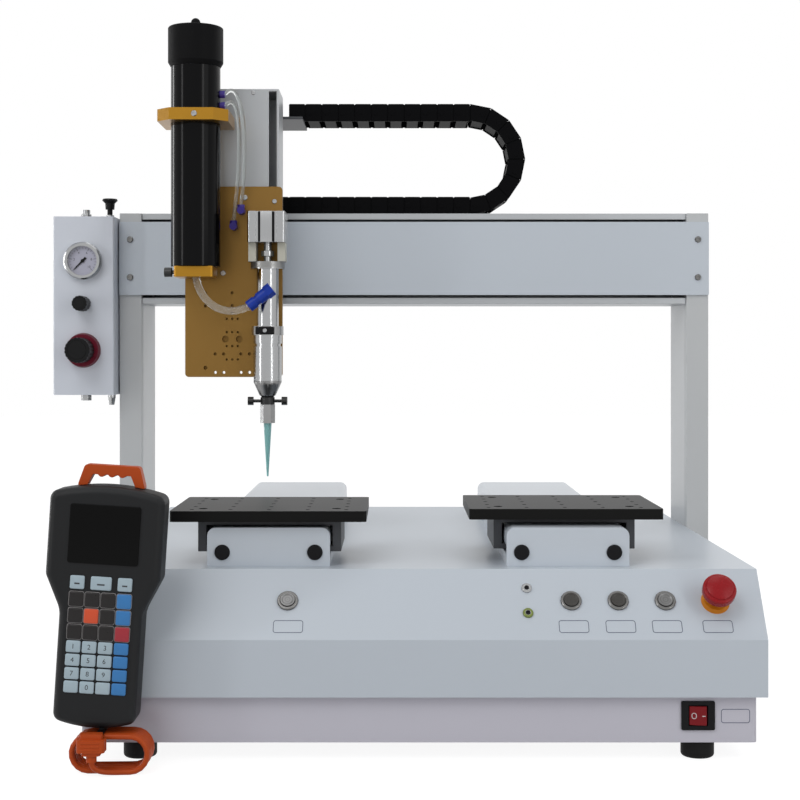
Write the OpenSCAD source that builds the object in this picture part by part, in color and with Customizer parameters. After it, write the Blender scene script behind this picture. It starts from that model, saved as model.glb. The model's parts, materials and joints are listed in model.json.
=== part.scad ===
// Desktop dispensing robot: a gantry over two sliding work tables, with a
// cartridge-fed dispense valve, an air panel and a hand-held teach pendant.
// Millimetres, +X to the right, -Y to the front, +Z up.

/* [Base] */
// Width of the base cabinet
base_w = 620; // [560:10:700]
// Depth of the base cabinet
base_d = 600; // [560:10:680]
// Height of the cabinet's upright front band
band_h = 51; // [40:1:70]
// Height of the sloped control panel
slope_h = 57; // [50:1:70]
// How far the control panel leans back
slope_d = 44; // [36:1:56]
// Visible height of the recessed plinth
plinth_h = 42; // [36:1:60]
// How far the plinth stands back from the band above it
plinth_in = 8; // [5:1:14]
// Height of the rubber feet
foot_h = 16; // [10:1:24]
// Diameter of a foot
foot_dia = 30; // [24:1:40]
// Sheet thickness of the cabinet
sheet = 2; // [1.5:0.5:3]
// How far each foot stands in from the sides
foot_inset = 58; // [40:2:80]

/* [Control panel] */
// Diameter of a push button's bright ring
ring_dia = 19; // [18:0.5:22]
// Diameter of a push button's threaded body
button_body_dia = 16; // [15:0.2:17]
// Diameter of a push button's cap
button_cap_dia = 13.4; // [11:0.2:13.6]
// Push button travel
button_travel = 2.5; // [1:0.5:3]
// Distance between neighbouring buttons
button_pitch = 42.5; // [36:0.5:46]
// Place of the row's last button from the base's centre plane
button_row_x = 222.5; // [215:0.5:226]
// Place of the lone button left of the centre plane
lone_button_x = 118.5; // [90:0.5:150]
// Place of the stop button from the centre plane
estop_x = 268; // [262:1:276]
// Diameter of the stop button's mushroom head
estop_dia = 30; // [26:1:36]
// Stop button travel
estop_travel = 5; // [3:0.5:6]
// Place of the two indicator sockets from the centre plane
jack_x = 98; // [60:1:110]
// Width of the power switch's bezel
rocker_w = 30; // [26:0.5:32]
// Height of the power switch's bezel
rocker_h = 26; // [22:0.5:28]
// Place of the power switch from the centre plane
rocker_x = 249; // [200:1:260]

/* [Gantry] */
// Width of a post's front face
post_w = 25; // [20:1:32]
// Depth of a post
post_d = 97; // [90:1:110]
// Height of the post tops above the bench
post_top = 523; // [500:1:560]
// Distance from the base's centre line back to the posts' front faces
post_front = 75; // [60:1:90]
// Wall of the post and beam sections
section_wall = 3; // [2:0.5:4]
// Height of the beam section
beam_h = 103; // [96:1:116]
// Height of the beam's front cover plate
cover_h = 83; // [80:1:88]
// Thickness of the cover plate
cover_t = 3; // [2:0.5:4]

/* [Cross slide and lift] */
// Place of the head's centre plane, left of the base's centre plane
head_x = -196; // [-200:1:-180]
// Width of the lift housing
lift_w = 96; // [90:1:110]
// Depth of the lift housing
lift_d = 59; // [52:1:64]
// Height of the lift housing's top above the bench
lift_top = 652; // [640:1:680]
// Height of the lift housing's bottom above the bench
lift_bottom = 412; // [400:1:425]
// Width of the lift's two front slots
lift_slot = 8; // [7:0.5:10]
// Diameter of the lift screw
screw_dia = 10; // [8:1:12]
// Height of a chain link
chain_h = 20; // [16:1:24]
// Width of the chain
chain_w = 54; // [40:2:60]
// Length of one chain link
chain_pitch = 19; // [18:1:22]
// Bend radius of the chain along its middle
chain_bend_r = 53.5; // [48:0.5:56]
// Links in the upper run
upper_links = 11; // [9:1:12]
// Links in the lower run
lower_links = 13; // [10:1:14]

/* [Dispensing head] */
// Width of the anodised head plate
plate_w = 105; // [100:1:112]
// Height of the head plate
plate_h = 206; // [200:2:214]
// Thickness of the head plate
plate_t = 8; // [6:0.5:10]
// Height of the head plate's lower edge above the bench
plate_z = 338; // [330:1:344]
// Diameter of the cartridge barrel
barrel_dia = 52; // [46:1:54]
// Length of the barrel below its cap
barrel_len = 210; // [200:2:230]
// Height of the barrel's lower end above the bench
barrel_z = 455; // [450:1:460]
// Wall of the barrel
barrel_wall = 3; // [2:0.5:4]
// Diameter of the barrel's cap
cap_dia = 58; // [56:1:60]
// Height of the barrel's cap
cap_h = 42; // [30:1:50]
// Side of the valve's square air cylinder
valve_side = 40; // [36:1:42]
// Diameter of the valve's slim tube
valve_tube_dia = 23.5; // [20:0.5:26]
// Diameter of the valve's lower body
valve_body_dia = 30; // [28:0.5:32]
// Diameter of the valve's rod
rod_dia = 8; // [6:0.5:9]
// Diameter of the needle's hub end
needle_dia = 8.6; // [6:0.2:9.4]
// Length of the tapered needle
needle_len = 57; // [45:1:62]

/* [Work tables] */
// Width of a work table
table_w = 182; // [160:2:200]
// Depth of a work table
table_d = 138; // [120:2:160]
// Thickness of a work table
table_t = 10; // [8:1:14]
// Distance of each table's centre from the base's centre plane
table_x = 139; // [130:1:150]
// Width of the guide cover under a table
guide_w = 114; // [104:2:118]
// Height of the guide cover
guide_h = 36; // [34:1:40]
// Diameter of the black plugs in the guide cover's front
plug_dia = 15; // [10:1:18]
// Hole spacing of the fixture pattern across the table
fixture_x = 125; // [100:5:150]
// Hole spacing of the fixture pattern along the table
fixture_y = 90; // [80:5:100]
// Diameter of a fixture hole
fixture_dia = 8.6; // [6:0.1:9]

/* [Air panel] */
// Width of the air panel's box
air_w = 68; // [60:1:80]
// Height of the air panel's box
air_h = 200; // [190:2:220]
// Depth of the air panel's box
air_d = 60; // [50:1:70]
// Diameter of the pressure gauge
gauge_dia = 42; // [38:1:46]
// Diameter of the regulator knob's collar
collar_dia = 39; // [34:1:44]
// Diameter of the regulator knob
reg_dia = 28; // [24:1:32]
// Diameter of the small suck-back knob
suck_dia = 17; // [14:1:20]

/* [Pendant] */
// Width of the pendant's head
pend_w = 100; // [94:1:110]
// Width of the pendant's grip
grip_w = 72; // [68:1:80]
// Height of the pendant
pend_h = 200; // [190:2:216]
// Thickness of the pendant
pend_t = 38; // [32:1:44]
// Sideways lean of the pendant as it stands
pend_tilt = 3.6; // [0:0.2:5]
// Diameter of the pendant's cable
cable_dia = 5; // [4:0.5:6]

/* [Hidden] */
$fn = 64;
clear = 0.3;
run = 0.05;
eps = 0.01;

// Base heights and the tilted panel's frame
band_z = foot_h + plinth_h;
slope_z = band_z + band_h;
base_z = slope_z + slope_h;
front_y = -base_d / 2;
slope_a = atan2(slope_h, slope_d);
inner_w = base_w - 2 * sheet;
pan_w = base_w - 2 * plinth_in;
pan_d = base_d - 2 * plinth_in;
flange_w = inner_w - 2 * clear;
flange_d = base_d - 2 * sheet - 2 * clear;
button_row = [button_row_x - 2 * button_pitch, button_row_x - button_pitch, button_row_x];
ring_t = 2.5;
button_depth = 24;
cap_proud = 1.2;
button_floor = 3;
cap_len = ring_t + cap_proud + button_depth - button_floor - button_travel - 0.5;
row_t = 0.46;
estop_body = 22;
estop_stem = 12;
estop_pin = 6;
collar_t = 4;
estop_depth = 27;
estop_rise = collar_t + estop_travel + 2;
rocker_gap = 0.6;
port_t = 3;
rocker_z = foot_h + plinth_h * 0.58;
rocker_in_w = rocker_w - 13;
rocker_in_h = rocker_h - 8;

// Gantry
post_x = base_w / 2;
beam_z = post_top - beam_h;
cover_z = beam_z + (beam_h - cover_h) / 2;
beam_lip = (beam_h - cover_h) / 2 - 3;
beam_y = post_front + 3;
beam_back = post_front + post_d - 2;
rail_w = 15;
rail_t = 12;
rail_z = beam_z + beam_h / 2;

// Cross slide
arm_t = 2;
slide_w = 90;
slide_front = post_front - cover_t - 10;
slide_t = 8;
top_arm_z = cover_z + cover_h + (3 - arm_t) / 2;
low_arm_z = cover_z - 3 + (3 - arm_t) / 2;
inner_plate = beam_y + 14;
block_h = 40;

// Lift housing and the block that runs in it
lift_y = slide_front - lift_d;
lift_wall = 3;
fin_t = lift_slot - 3;
fin_x = lift_w / 2 - lift_wall - lift_slot / 2;
fin_z = 436;
fin_h = 90;
screw_y = lift_y + 26;

// Cable chain
chain_y = post_front + post_d / 2;
chain_z = post_top + 1 + chain_h / 2;
chain_start = head_x + lift_w / 2 + 4;
bend_x = chain_start + upper_links * chain_pitch;
bend_links = 8;
link_gap = 0.4;
ear_t = 2;
boss_x = 5;
boss_dia = 6;
boss_t = 0.4;

// Head
plate_y = lift_y - plate_t - 5;
bar_t = 12;
barrel_x = head_x - 36;
barrel_y = plate_y - bar_t - clear - barrel_dia / 2;
clamp_z = barrel_z + 150;
clamp_t = 12.5;
foot_t = 11.5;
valve_x = head_x + 38.4;
valve_y = plate_y - valve_side / 2;
cyl_z = 481;
cyl_h = 33;
yoke_z = 461;
flange_t = 7.5;
tube_z = 383;
low_z = 333;
cone_z = 319;
ring_z = 309;
hex_z = 289.3;
hex_af = 13.7;
elbow_a = 38;
elbow_out = 9;
elbow_dia = 13;
elbow_arm = 10;
elbow_neck = 4;
elbow_collar = 9;
elbow = [valve_x, valve_y - valve_tube_dia / 2 - elbow_out, 427];
elbow_dir = [cos(elbow_a), 0, sin(elbow_a)];
feed_dia = 8;
feed_swing = 34;
air_tube_dia = 4;
port_z = barrel_z + 182;
port_pitch = 12;
port_len = 5;
link_x = head_x + 9;
link_z = 517;
link_step = [8, 17];
clamp_wall = 11;
clamp_cut = 14;
nut_r = 7.6;
neck_r = 8.7;
thumb_out = 21;
cheek_t = 8;
cheek_in = 11.5;
pattern_x = -1.5;
pattern_z = 41;
tool_pitch = 15;
tool_dia = 7.2;
plate_cut = plate_t - 2;

// Tables
table_z = base_z + 42;
guide_top = base_z + guide_h;
guide_front = front_y + slope_d + 16;
guide_len = base_d - slope_d - 66;
left_front = front_y + slope_d + 8;
right_front = left_front + 20;
bracket_t = 8;
bracket_gap = 2;
bracket_inset = 20;
tongue_z = base_z + rail_t + clear;
tongue_t = 5;
grid_x = 36;
grid_y = 27;
grid_dia = 4.2;

// Air panel
air_x = -post_x - post_w - 1.5 - air_w / 2;
air_y = post_front - 27;
air_z = 317;
gauge_z = air_z + 150;
suck_z = air_z + 102;
reg_z = air_z + 50;
air_knob_x = air_x + 24;
dial_dia = gauge_dia - 9;
suck_len = 22;
reg_len = 25;
push_z = 10.5;

// Pendant
pend_x = -base_w / 2 + 27.5;
pend_z = 45;
pend_y = front_y - clear;
head_h = 75;
key_t = 1.6;
pend_edge = 8;
grip_h = 95;
pend_crown = 4;
pend_arch = 7;
crown_r = pend_w * pend_w / (8 * pend_arch);
pend_chin = 6;
handle_w = 58;
handle_h = 17;
handle_t = 12;
handle_bar = 8.5;
key_w = 12.4;
key_pitch = 13.8;
key_row_z = 120.5;
dark_row_z = 106;
dark_pitch = 14.2;
pale_row_z = 65;
pale_pitch = 11.6;
hank_r = 15;
hank_run = 36;
hank_turns = 6;
hank_w = 2 * hank_r + hank_run + cable_dia;
hank_x = pend_x + 14;
hank_depth = (hank_turns + 0.4) * cable_dia;
hank_y = pend_y - 8 - hank_depth / 2;
cable_exit = [pend_x + 6, hank_y + hank_depth / 2 - cable_dia / 2, pend_z - 2];
cable_bend = cable_exit[2] - 2 * hank_r - cable_dia / 2;
hank_in = cable_exit + [cable_bend, 0, -cable_bend];
hank_out = [hank_x + hank_run / 2, hank_y - hank_depth / 2 + cable_dia / 2, cable_dia / 2];
plug_w = 24;
plug_t = 15;
plug_boot = 6;
plug_hood = 14;
plug_face = 4.5;
plug_rib = 0.5;
plug_end = [pend_x + 1, hank_y - hank_depth / 2 - plug_t / 2 - clear, 14];

// The origin lies under the middle of the part's own box
part_left = air_x - air_w / 2;
part_right = post_x + post_w;
part_front = pend_y - pend_t - key_t;
part_back = base_d / 2 + port_t;
shift = [-(part_left + part_right) / 2, -(part_front + part_back) / 2, 0];

// Flat rectangle with round corners, centred
module rrect(w, h, r) {
  square([w - 2 * r, h], center = true);
  square([w, h - 2 * r], center = true);
  for (x = [-1, 1], y = [-1, 1])
    translate([x * (w / 2 - r), y * (h / 2 - r)])
      circle(r);
}

// Upright slab with round corners, its base centred on z = 0
module slab(w, d, h, r) {
  linear_extrude(h)
    rrect(w, d, r);
}

// Ring with its base on z = 0
module ring(d_out, d_in, h) {
  difference() {
    cylinder(d = d_out, h = h);
    translate([0, 0, -eps])
      cylinder(d = d_in, h = h + 2 * eps);
  }
}

// A profile drawn as [y, z] and run along X, centred on x = 0
module run_x(len) {
  rotate([90, 0, 90])
    linear_extrude(len, center = true)
      children();
}

// Places a child on the sloped panel, t from its top edge (0) to its lower edge (1)
module on_slope(x, t) {
  translate([x, front_y + slope_d * (1 - t), base_z - slope_h * t])
    rotate([slope_a, 0, 0])
      children();
}

// Faces a child, drawn upright, to the front
module to_front() {
  rotate([90, 0, 0])
    children();
}

// Sweeps a round tube along points with rings square to the route
function unit(v) = v / norm(v);
function heading(p, i) = unit(p[min(i + 1, len(p) - 1)] - p[max(i - 1, 0)]);
function side_of(d) = abs(d[2]) > 0.9 ? unit(cross(d, [0, 1, 0])) : unit(cross(d, [0, 0, 1]));
module tube(p, dia, sides) {
  rings = [for (i = [0 : len(p) - 1])
    let (d = heading(p, i), u = side_of(d), v = cross(d, u))
      for (k = [0 : sides - 1])
        p[i] + dia / 2 * (cos(360 * k / sides) * u + sin(360 * k / sides) * v)];
  n = len(p);
  quads = [for (i = [0 : n - 2], k = [0 : sides - 1])
    [i * sides + k, i * sides + (k + 1) % sides, (i + 1) * sides + (k + 1) % sides, (i + 1) * sides + k]];
  first = [for (k = [sides - 1 : -1 : 0]) k];
  last = [for (k = [0 : sides - 1]) (n - 1) * sides + k];
  polyhedron(points = rings, faces = concat([first], quads, [last]));
}

// Points of a smooth curve through four control points
function bez(a, b, c, d, t) = pow(1 - t, 3) * a + 3 * t * pow(1 - t, 2) * b + 3 * t * t * (1 - t) * c + pow(t, 3) * d;
function curve(a, b, c, d, n) = [for (i = [0 : n]) bez(a, b, c, d, i / n)];

// Base cabinet: one folded sheet with the sloped panel at its front
module base_profile(w) {
  inset_y = front_y + slope_d + w * sin(slope_a);
  inset_z = base_z - w * cos(slope_a);
  low_z = inset_z + (front_y + w - inset_y) * tan(slope_a);
  top_y = inset_y + (base_z - w - inset_z) / tan(slope_a);
  polygon([[front_y + w, band_z], [front_y + w, low_z], [top_y, base_z - w],
    [base_d / 2 - w, base_z - w], [base_d / 2 - w, band_z]]);
}
module base_shell() {
  color("white")
    difference() {
      run_x(base_w)
        base_profile(0);
      translate([0, 0, -eps])
        run_x(inner_w)
          base_profile(sheet);
      for (x = concat([-lone_button_x], button_row))
        on_slope(x, row_t)
          cylinder(d = button_body_dia + 2 * clear, h = 12, center = true);
      on_slope(estop_x, row_t)
        cylinder(d = estop_body + 2 * clear, h = 12, center = true);
      for (t = [0.28, 0.63])
        on_slope(jack_x, t)
          cylinder(d = 6 + 2 * clear, h = 12, center = true);
      translate([0, base_d / 2, band_z + 50])
        cube([48, 4 * sheet, 28], center = true);
      translate([120, base_d / 2, band_z + 50])
        cube([32, 4 * sheet, 14], center = true);
    }
}
module base_pan() {
  color("gainsboro")
    difference() {
      union() {
        translate([0, 0, foot_h])
          slab(pan_w, pan_d, plinth_h + eps, 4);
        translate([0, 0, band_z])
          linear_extrude(sheet)
            square([flange_w, flange_d], center = true);
      }
      translate([0, 0, foot_h + sheet])
        slab(pan_w - 2 * sheet, pan_d - 2 * sheet, plinth_h + sheet, 2.5);
      translate([rocker_x, -pan_d / 2, rocker_z])
        cube([rocker_w - 2, 3 * sheet, rocker_h - 2], center = true);
    }
}
module feet() {
  color("#202020")
    for (x = [-1, 1], y = [-1, 1])
      translate([x * (base_w / 2 - foot_inset), y * (base_d / 2 - 26), 0])
        rotate_extrude()
          difference() {
            union() {
              square([foot_dia / 2 - 3, foot_h]);
              translate([0, 3])
                square([foot_dia / 2, foot_h - 3]);
              translate([foot_dia / 2 - 3, 3])
                circle(3);
            }
            translate([-foot_dia, 0])
              square([foot_dia, foot_h]);
          }
}

// Push buttons: a bright ring with a threaded body, and a cap that slides in it
module button_bezel() {
  difference() {
    union() {
      cylinder(d = ring_dia, h = ring_t - 0.8);
      translate([0, 0, ring_t - 0.8])
        cylinder(d1 = ring_dia, d2 = ring_dia - 1.6, h = 0.8);
      translate([0, 0, -button_depth])
        cylinder(d = button_body_dia, h = button_depth + eps);
    }
    translate([0, 0, -button_depth + button_floor])
      cylinder(d = button_cap_dia + 2 * clear, h = button_depth + ring_t);
  }
}
module button_bezels() {
  color("silver")
    for (x = concat([-lone_button_x], button_row))
      on_slope(x, row_t)
        button_bezel();
}
module button_cap(x) {
  color("#5a5f66")
    on_slope(x, row_t)
      translate([0, 0, ring_t + cap_proud])
        rotate([180, 0, 0])
          difference() {
            cylinder(d = button_cap_dia, h = cap_len);
            translate([0, 0, -eps])
              cylinder(d1 = button_cap_dia - 3, d2 = button_cap_dia - 4, h = 0.5);
          }
}
module lone_start_button() button_cap(-lone_button_x);
module manual_button() button_cap(button_row[0]);
module reset_button() button_cap(button_row[1]);
module start_button() button_cap(button_row[2]);

// Stop button: collar in the panel, plunger that sinks, head that twists on the plunger
module estop_collar() {
  color("orange")
    on_slope(estop_x, row_t)
      difference() {
        union() {
          cylinder(d1 = estop_dia - 4, d2 = estop_dia - 8, h = collar_t);
          translate([0, 0, -estop_depth - 3])
            cylinder(d = estop_body, h = estop_depth + 3 + eps);
        }
        translate([0, 0, -estop_depth])
          cylinder(d = estop_stem + 2 * clear, h = estop_depth + 2 * collar_t);
      }
}
module estop_plunger() {
  color("#a01818")
    on_slope(estop_x, row_t) {
      translate([0, 0, estop_travel + 2 - estop_depth])
        cylinder(d = estop_stem, h = estop_rise + estop_depth - estop_travel - 2);
      translate([0, 0, estop_rise - eps])
        cylinder(d = estop_pin, h = 6);
    }
}
module estop_button() {
  color("red")
    on_slope(estop_x, row_t)
      translate([0, 0, estop_rise + clear])
        rotate_extrude()
          difference() {
            union() {
              square([9, 5]);
              translate([0, 4])
                square([estop_dia / 2 - 2, 9]);
              translate([0, 6])
                square([estop_dia / 2, 5]);
              for (y = [6, 11])
                translate([estop_dia / 2 - 2, y])
                  circle(2);
              intersection() {
                translate([0, -26])
                  circle(r = 42);
                translate([0, 12])
                  square([estop_dia / 2 - 3, 8]);
              }
            }
            translate([-eps, -eps])
              square([estop_pin / 2 + run + eps, 6.5]);
            translate([-estop_dia, -eps])
              square([estop_dia, 40]);
          }
}

// Indicator sockets beside the button row
module panel_jacks() {
  color("silver")
    for (t = [0.28, 0.63])
      on_slope(jack_x, t)
        difference() {
          union() {
            cylinder(d1 = 9, d2 = 8, h = 1.6);
            translate([0, 0, -12])
              cylinder(d = 6, h = 12 + eps);
          }
          translate([0, 0, -4])
            cylinder(d = 4.4, h = 10);
        }
}

// Power switch: bezel in the plinth and a rocker on a cross axle
module rocker_place() {
  translate([rocker_x, -pan_d / 2, rocker_z])
    children();
}
module rocker_bezel() {
  color("#181818")
    rocker_place()
      difference() {
        union() {
          to_front()
            slab(rocker_w, rocker_h, 2, 1.5);
          translate([0, 10, 0])
            cube([rocker_w - 2 - 2 * clear, 20, rocker_h - 2 - 2 * clear], center = true);
        }
        translate([0, 4, 0])
          cube([rocker_in_w, 24, rocker_in_h], center = true);
      }
}
module rocker_switch() {
  color("firebrick")
    rocker_place()
      rotate([0, 90, 0])
        rotate([10, 0, 0])
          run_x(rocker_in_h - 2 * rocker_gap)
            intersection() {
              circle(rocker_in_w / 2 - rocker_gap);
              polygon([[-2.2, -12], [-3.4, 0], [-2.2, 12], [8, 12], [8, -12]]);
            }
}

// Power inlet and pendant socket in the back of the cabinet
module rear_ports() {
  color("#1c1c1c") {
    translate([0, base_d / 2, band_z + 50])
      difference() {
        union() {
          translate([0, port_t / 2, 0])
            cube([52, port_t, 32], center = true);
          translate([0, -12, 0])
            cube([48 - 2 * clear, 24 + 2 * eps, 28 - 2 * clear], center = true);
        }
        translate([0, port_t, 0])
          cube([26, 7, 18], center = true);
      }
    translate([120, base_d / 2, band_z + 50])
      difference() {
        union() {
          translate([0, 1, 0])
            cube([38, 2, 18], center = true);
          translate([0, -5, 0])
            cube([32 - 2 * clear, 10 + 2 * eps, 14 - 2 * clear], center = true);
        }
        translate([0, port_t - 1, 0])
          cube([20, 7, 8], center = true);
      }
  }
}

// Gantry posts: hollow sections on the outside of the cabinet, closed on top
module post(side) {
  color("lightgray")
    translate([side * (post_x + post_w / 2), post_front + post_d / 2, 0])
      difference() {
        translate([0, 0, band_z])
          linear_extrude(post_top - band_z)
            square([post_w, post_d], center = true);
        translate([0, 0, band_z - eps])
          linear_extrude(post_top - band_z - section_wall)
            square([post_w - 2 * section_wall, post_d - 2 * section_wall], center = true);
        translate([-side * post_w / 2, -post_d / 2 + 8, band_z - eps])
          linear_extrude(post_top - band_z + 2 * eps)
            square([2.4, 3], center = true);
      }
}
module left_post() post(-1);
module right_post() post(1);

// Beam: an open channel behind its cover, leaving a slot above and below it
module beam() {
  h = beam_h / 2;
  color("silver")
    translate([0, 0, beam_z + h])
      run_x(base_w)
        difference() {
          translate([beam_y, -h])
            square([beam_back - beam_y, beam_h]);
          translate([beam_y + section_wall, -h + section_wall])
            square([beam_back - beam_y - 2 * section_wall, beam_h - 2 * section_wall]);
          translate([beam_y - eps, -h + beam_lip])
            square([2 * section_wall, beam_h - 2 * beam_lip]);
        }
}
module beam_cover() {
  color("whitesmoke")
    translate([0, post_front, cover_z + cover_h / 2])
      difference() {
        to_front()
          slab(base_w + 2 * post_w, cover_h, cover_t, 1);
        for (x = [-1, 1], z = [-1, 1])
          translate([x * (post_x + post_w / 2), eps, z * (cover_h / 2 - 20)])
            to_front()
              cylinder(d = 4.5, h = 3 * cover_t);
      }
}

// Guide rails of the beam and of the two tables
module guide_rails() {
  color("slategray") {
    translate([0, beam_back - section_wall - rail_t / 2, rail_z])
      rail(base_w - 4, rail_t, rail_w);
    for (x = [-1, 1])
      translate([x * table_x, guide_front + guide_len / 2, base_z + rail_t / 2])
        rotate([0, 0, 90])
          rotate([90, 0, 0])
            rail(guide_len - 2 * sheet, rail_t, rail_w);
  }
}
// One rail run along X, its foot at +Y and a ball groove in each flank
module rail(len, deep, wide) {
  run_x(len)
    difference() {
      square([deep, wide], center = true);
      for (s = [-1, 1])
        translate([-deep / 6, s * wide / 2])
          circle(1.6);
    }
}

// Cross slide: a folded bracket that wraps the cover and rides on the beam's rail
module cross_slide() {
  rail_y = beam_back - section_wall - rail_t;
  color("dimgray")
    translate([head_x, 0, 0])
      run_x(slide_w)
        difference() {
          union() {
            translate([slide_front, low_arm_z])
              square([slide_t, top_arm_z + arm_t - low_arm_z]);
            for (z = [low_arm_z, top_arm_z])
              translate([slide_front, z])
                square([inner_plate - slide_front, arm_t]);
            translate([inner_plate - 4, low_arm_z])
              square([4, top_arm_z + arm_t - low_arm_z]);
            translate([inner_plate - eps, rail_z - block_h / 2])
              square([rail_y + rail_t * 0.75 - inner_plate, block_h]);
          }
          translate([rail_y - clear, rail_z - rail_w / 2 - clear])
            square([rail_t + clear, rail_w + 2 * clear]);
        }
}

// Lift housing: a box with two front slots for the block's fins
module lift_housing() {
  h = lift_top - lift_bottom;
  color("silver")
    translate([head_x, lift_y + lift_d / 2, lift_bottom])
      difference() {
        slab(lift_w, lift_d, h, 1.5);
        translate([0, 0, lift_wall])
          linear_extrude(h - 2 * lift_wall)
            square([lift_w - 2 * lift_wall, lift_d - 2 * lift_wall], center = true);
        for (x = [-1, 1])
          translate([x * fin_x - lift_slot / 2, -lift_d / 2 - 1, lift_wall])
            cube([lift_slot, lift_wall + 2, h - 2 * lift_wall]);
      }
}
module lift_screw() {
  color("gray")
    translate([head_x, screw_y, lift_bottom + lift_wall + clear])
      difference() {
        cylinder(d = screw_dia, h = lift_top - lift_bottom - 2 * lift_wall - 2 * clear);
        for (z = [30 : 20 : 190])
          translate([0, 0, z])
            ring(screw_dia + 2, screw_dia - 1.5, 2);
      }
}
// Lift block: two fins through the housing's slots and a cross block round the screw
module lift_block() {
  color("slategray")
    translate([head_x, 0, fin_z])
      linear_extrude(fin_h)
        difference() {
          union() {
            for (x = [-1, 1])
              translate([x * fin_x - fin_t / 2, plate_y + plate_t])
                square([fin_t, screw_y + 12 - plate_y - plate_t]);
            translate([-fin_x, screw_y - 12])
              square([2 * fin_x, 24]);
          }
          translate([0, screw_y])
            circle(screw_dia / 2 + run);
        }
}

// Cable chain: closed side plates with pin bosses, cross bars above and below, open inside
module link(tongue) {
  half = chain_w / 2;
  body_l = chain_pitch - link_gap;
  for (s = [-1, 1]) {
    translate([chain_pitch / 2, s * (half - ear_t / 2), 0])
      rotate([90, 0, 0])
        linear_extrude(ear_t, center = true)
          rrect(body_l, chain_h, 1.5);
    translate([boss_x, s * (half - ear_t), 0])
      rotate([-s * 90, 0, 0])
        cylinder(d = boss_dia, h = ear_t + boss_t, $fn = 24);
    if (tongue)
      translate([0, s * (half - 1.5 * ear_t - link_gap), 0])
        rotate([90, 0, 0])
          linear_extrude(ear_t, center = true) {
            translate([chain_pitch / 2, -boss_dia / 2])
              square([chain_pitch / 2 + boss_x, boss_dia]);
            translate([chain_pitch + boss_x, 0])
              circle(boss_dia / 2, $fn = 24);
          }
    if (tongue)
      translate([chain_pitch * 0.6, s * (half - ear_t - link_gap), 0])
        cube([chain_pitch / 4, 2 * ear_t, boss_dia], center = true);
  }
  for (z = [-1, 1])
    translate([chain_pitch / 2, 0, z * (chain_h / 2 - 1)])
      cube([body_l - 6, chain_w - 2 * ear_t + eps, 2], center = true);
}
module chain_lower() {
  color("#151515")
    for (i = [1 : lower_links])
      translate([bend_x - i * chain_pitch, chain_y, chain_z])
        link(i > 1);
}
module chain_upper() {
  color("#151515")
    for (i = [1 : upper_links])
      translate([bend_x - i * chain_pitch, chain_y, chain_z + 2 * chain_bend_r])
        link(i > 1);
}
module chain_bend() {
  step = 180 / bend_links;
  color("#151515")
    translate([bend_x, chain_y, chain_z + chain_bend_r])
      for (i = [0 : bend_links - 1])
        rotate([0, -i * step, 0])
          bend_link(step);
}
// One link of the bend, its side plates following the arc
module bend_link(step) {
  r = chain_bend_r;
  chord = 2 * (r - chain_h / 2) * sin(step / 2) - link_gap;
  reach = 2 * (r + chain_h / 2) * sin(step / 2) - link_gap;
  rotate([0, -step / 2, 0])
    translate([0, 0, -r]) {
      for (s = [-1, 1]) {
        translate([0, s * (chain_w / 2 - ear_t / 2), 0])
          rotate([90, 0, 0])
            linear_extrude(ear_t, center = true)
              polygon([[-chord / 2, chain_h / 2], [-reach / 2, -chain_h / 2 + 1.2],
                [reach / 2, -chain_h / 2 + 1.2], [chord / 2, chain_h / 2]]);
        translate([boss_x - chain_pitch / 2, s * (chain_w / 2 - ear_t), 0])
          rotate([-s * 90, 0, 0])
            cylinder(d = boss_dia, h = ear_t + boss_t, $fn = 24);
      }
      for (z = [-1, 1])
        translate([0, 0, z * (chain_h / 2 - 2.2)])
          cube([chord - 4, chain_w - 2 * ear_t + eps, 2], center = true);
    }
}
// Bracket that carries the chain's moving end behind the lift housing
module chain_bracket() {
  shelf_z = chain_z + 2 * chain_bend_r - chain_h / 2 - 3;
  color("dimgray")
    translate([head_x, slide_front, 0]) {
      translate([lift_w / 2 - 44, 0, shelf_z - 40])
        cube([40, 3, 40]);
      translate([lift_w / 2 - 44, 0, shelf_z])
        cube([66, chain_y + chain_w / 2 - slide_front, 3]);
    }
}

// Head plate: anodised plate with the valve's hole pattern in its lower half
module head_plate() {
  color("peru")
    translate([head_x, plate_y + plate_t, plate_z])
      difference() {
        translate([0, 0, plate_h / 2])
          to_front()
            slab(plate_w, plate_h, plate_t, 4);
        translate([pattern_x, 0, pattern_z]) {
          for (x = [-1, 1])
            plate_hole(x * tool_pitch / 2, 0, tool_dia, plate_cut);
          for (x = [-6, 0, 6], z = [-22, -7.5, 7.5, 22])
            plate_hole(x, z, 2.5, plate_cut);
          for (x = [-18.5, -9.3, 9.3, 18.5])
            plate_hole(x, -16, 3.4, plate_cut);
          for (x = [-29, 0], z = [36, 50])
            plate_hole(x, z, 3.4, plate_cut);
          plate_hole(-29, -31, 4.2, plate_cut);
        }
        for (x = [-18.5, -9.3, 9.3, 18.5])
          plate_hole(pattern_x + x, 5, 3.2, 2 * plate_t);
      }
}
// One hole sunk into the plate's front face
module plate_hole(x, z, d, deep) {
  translate([x, -plate_t - eps, z])
    rotate([-90, 0, 0])
      cylinder(d = d, h = deep + eps, $fn = 32);
}

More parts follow.
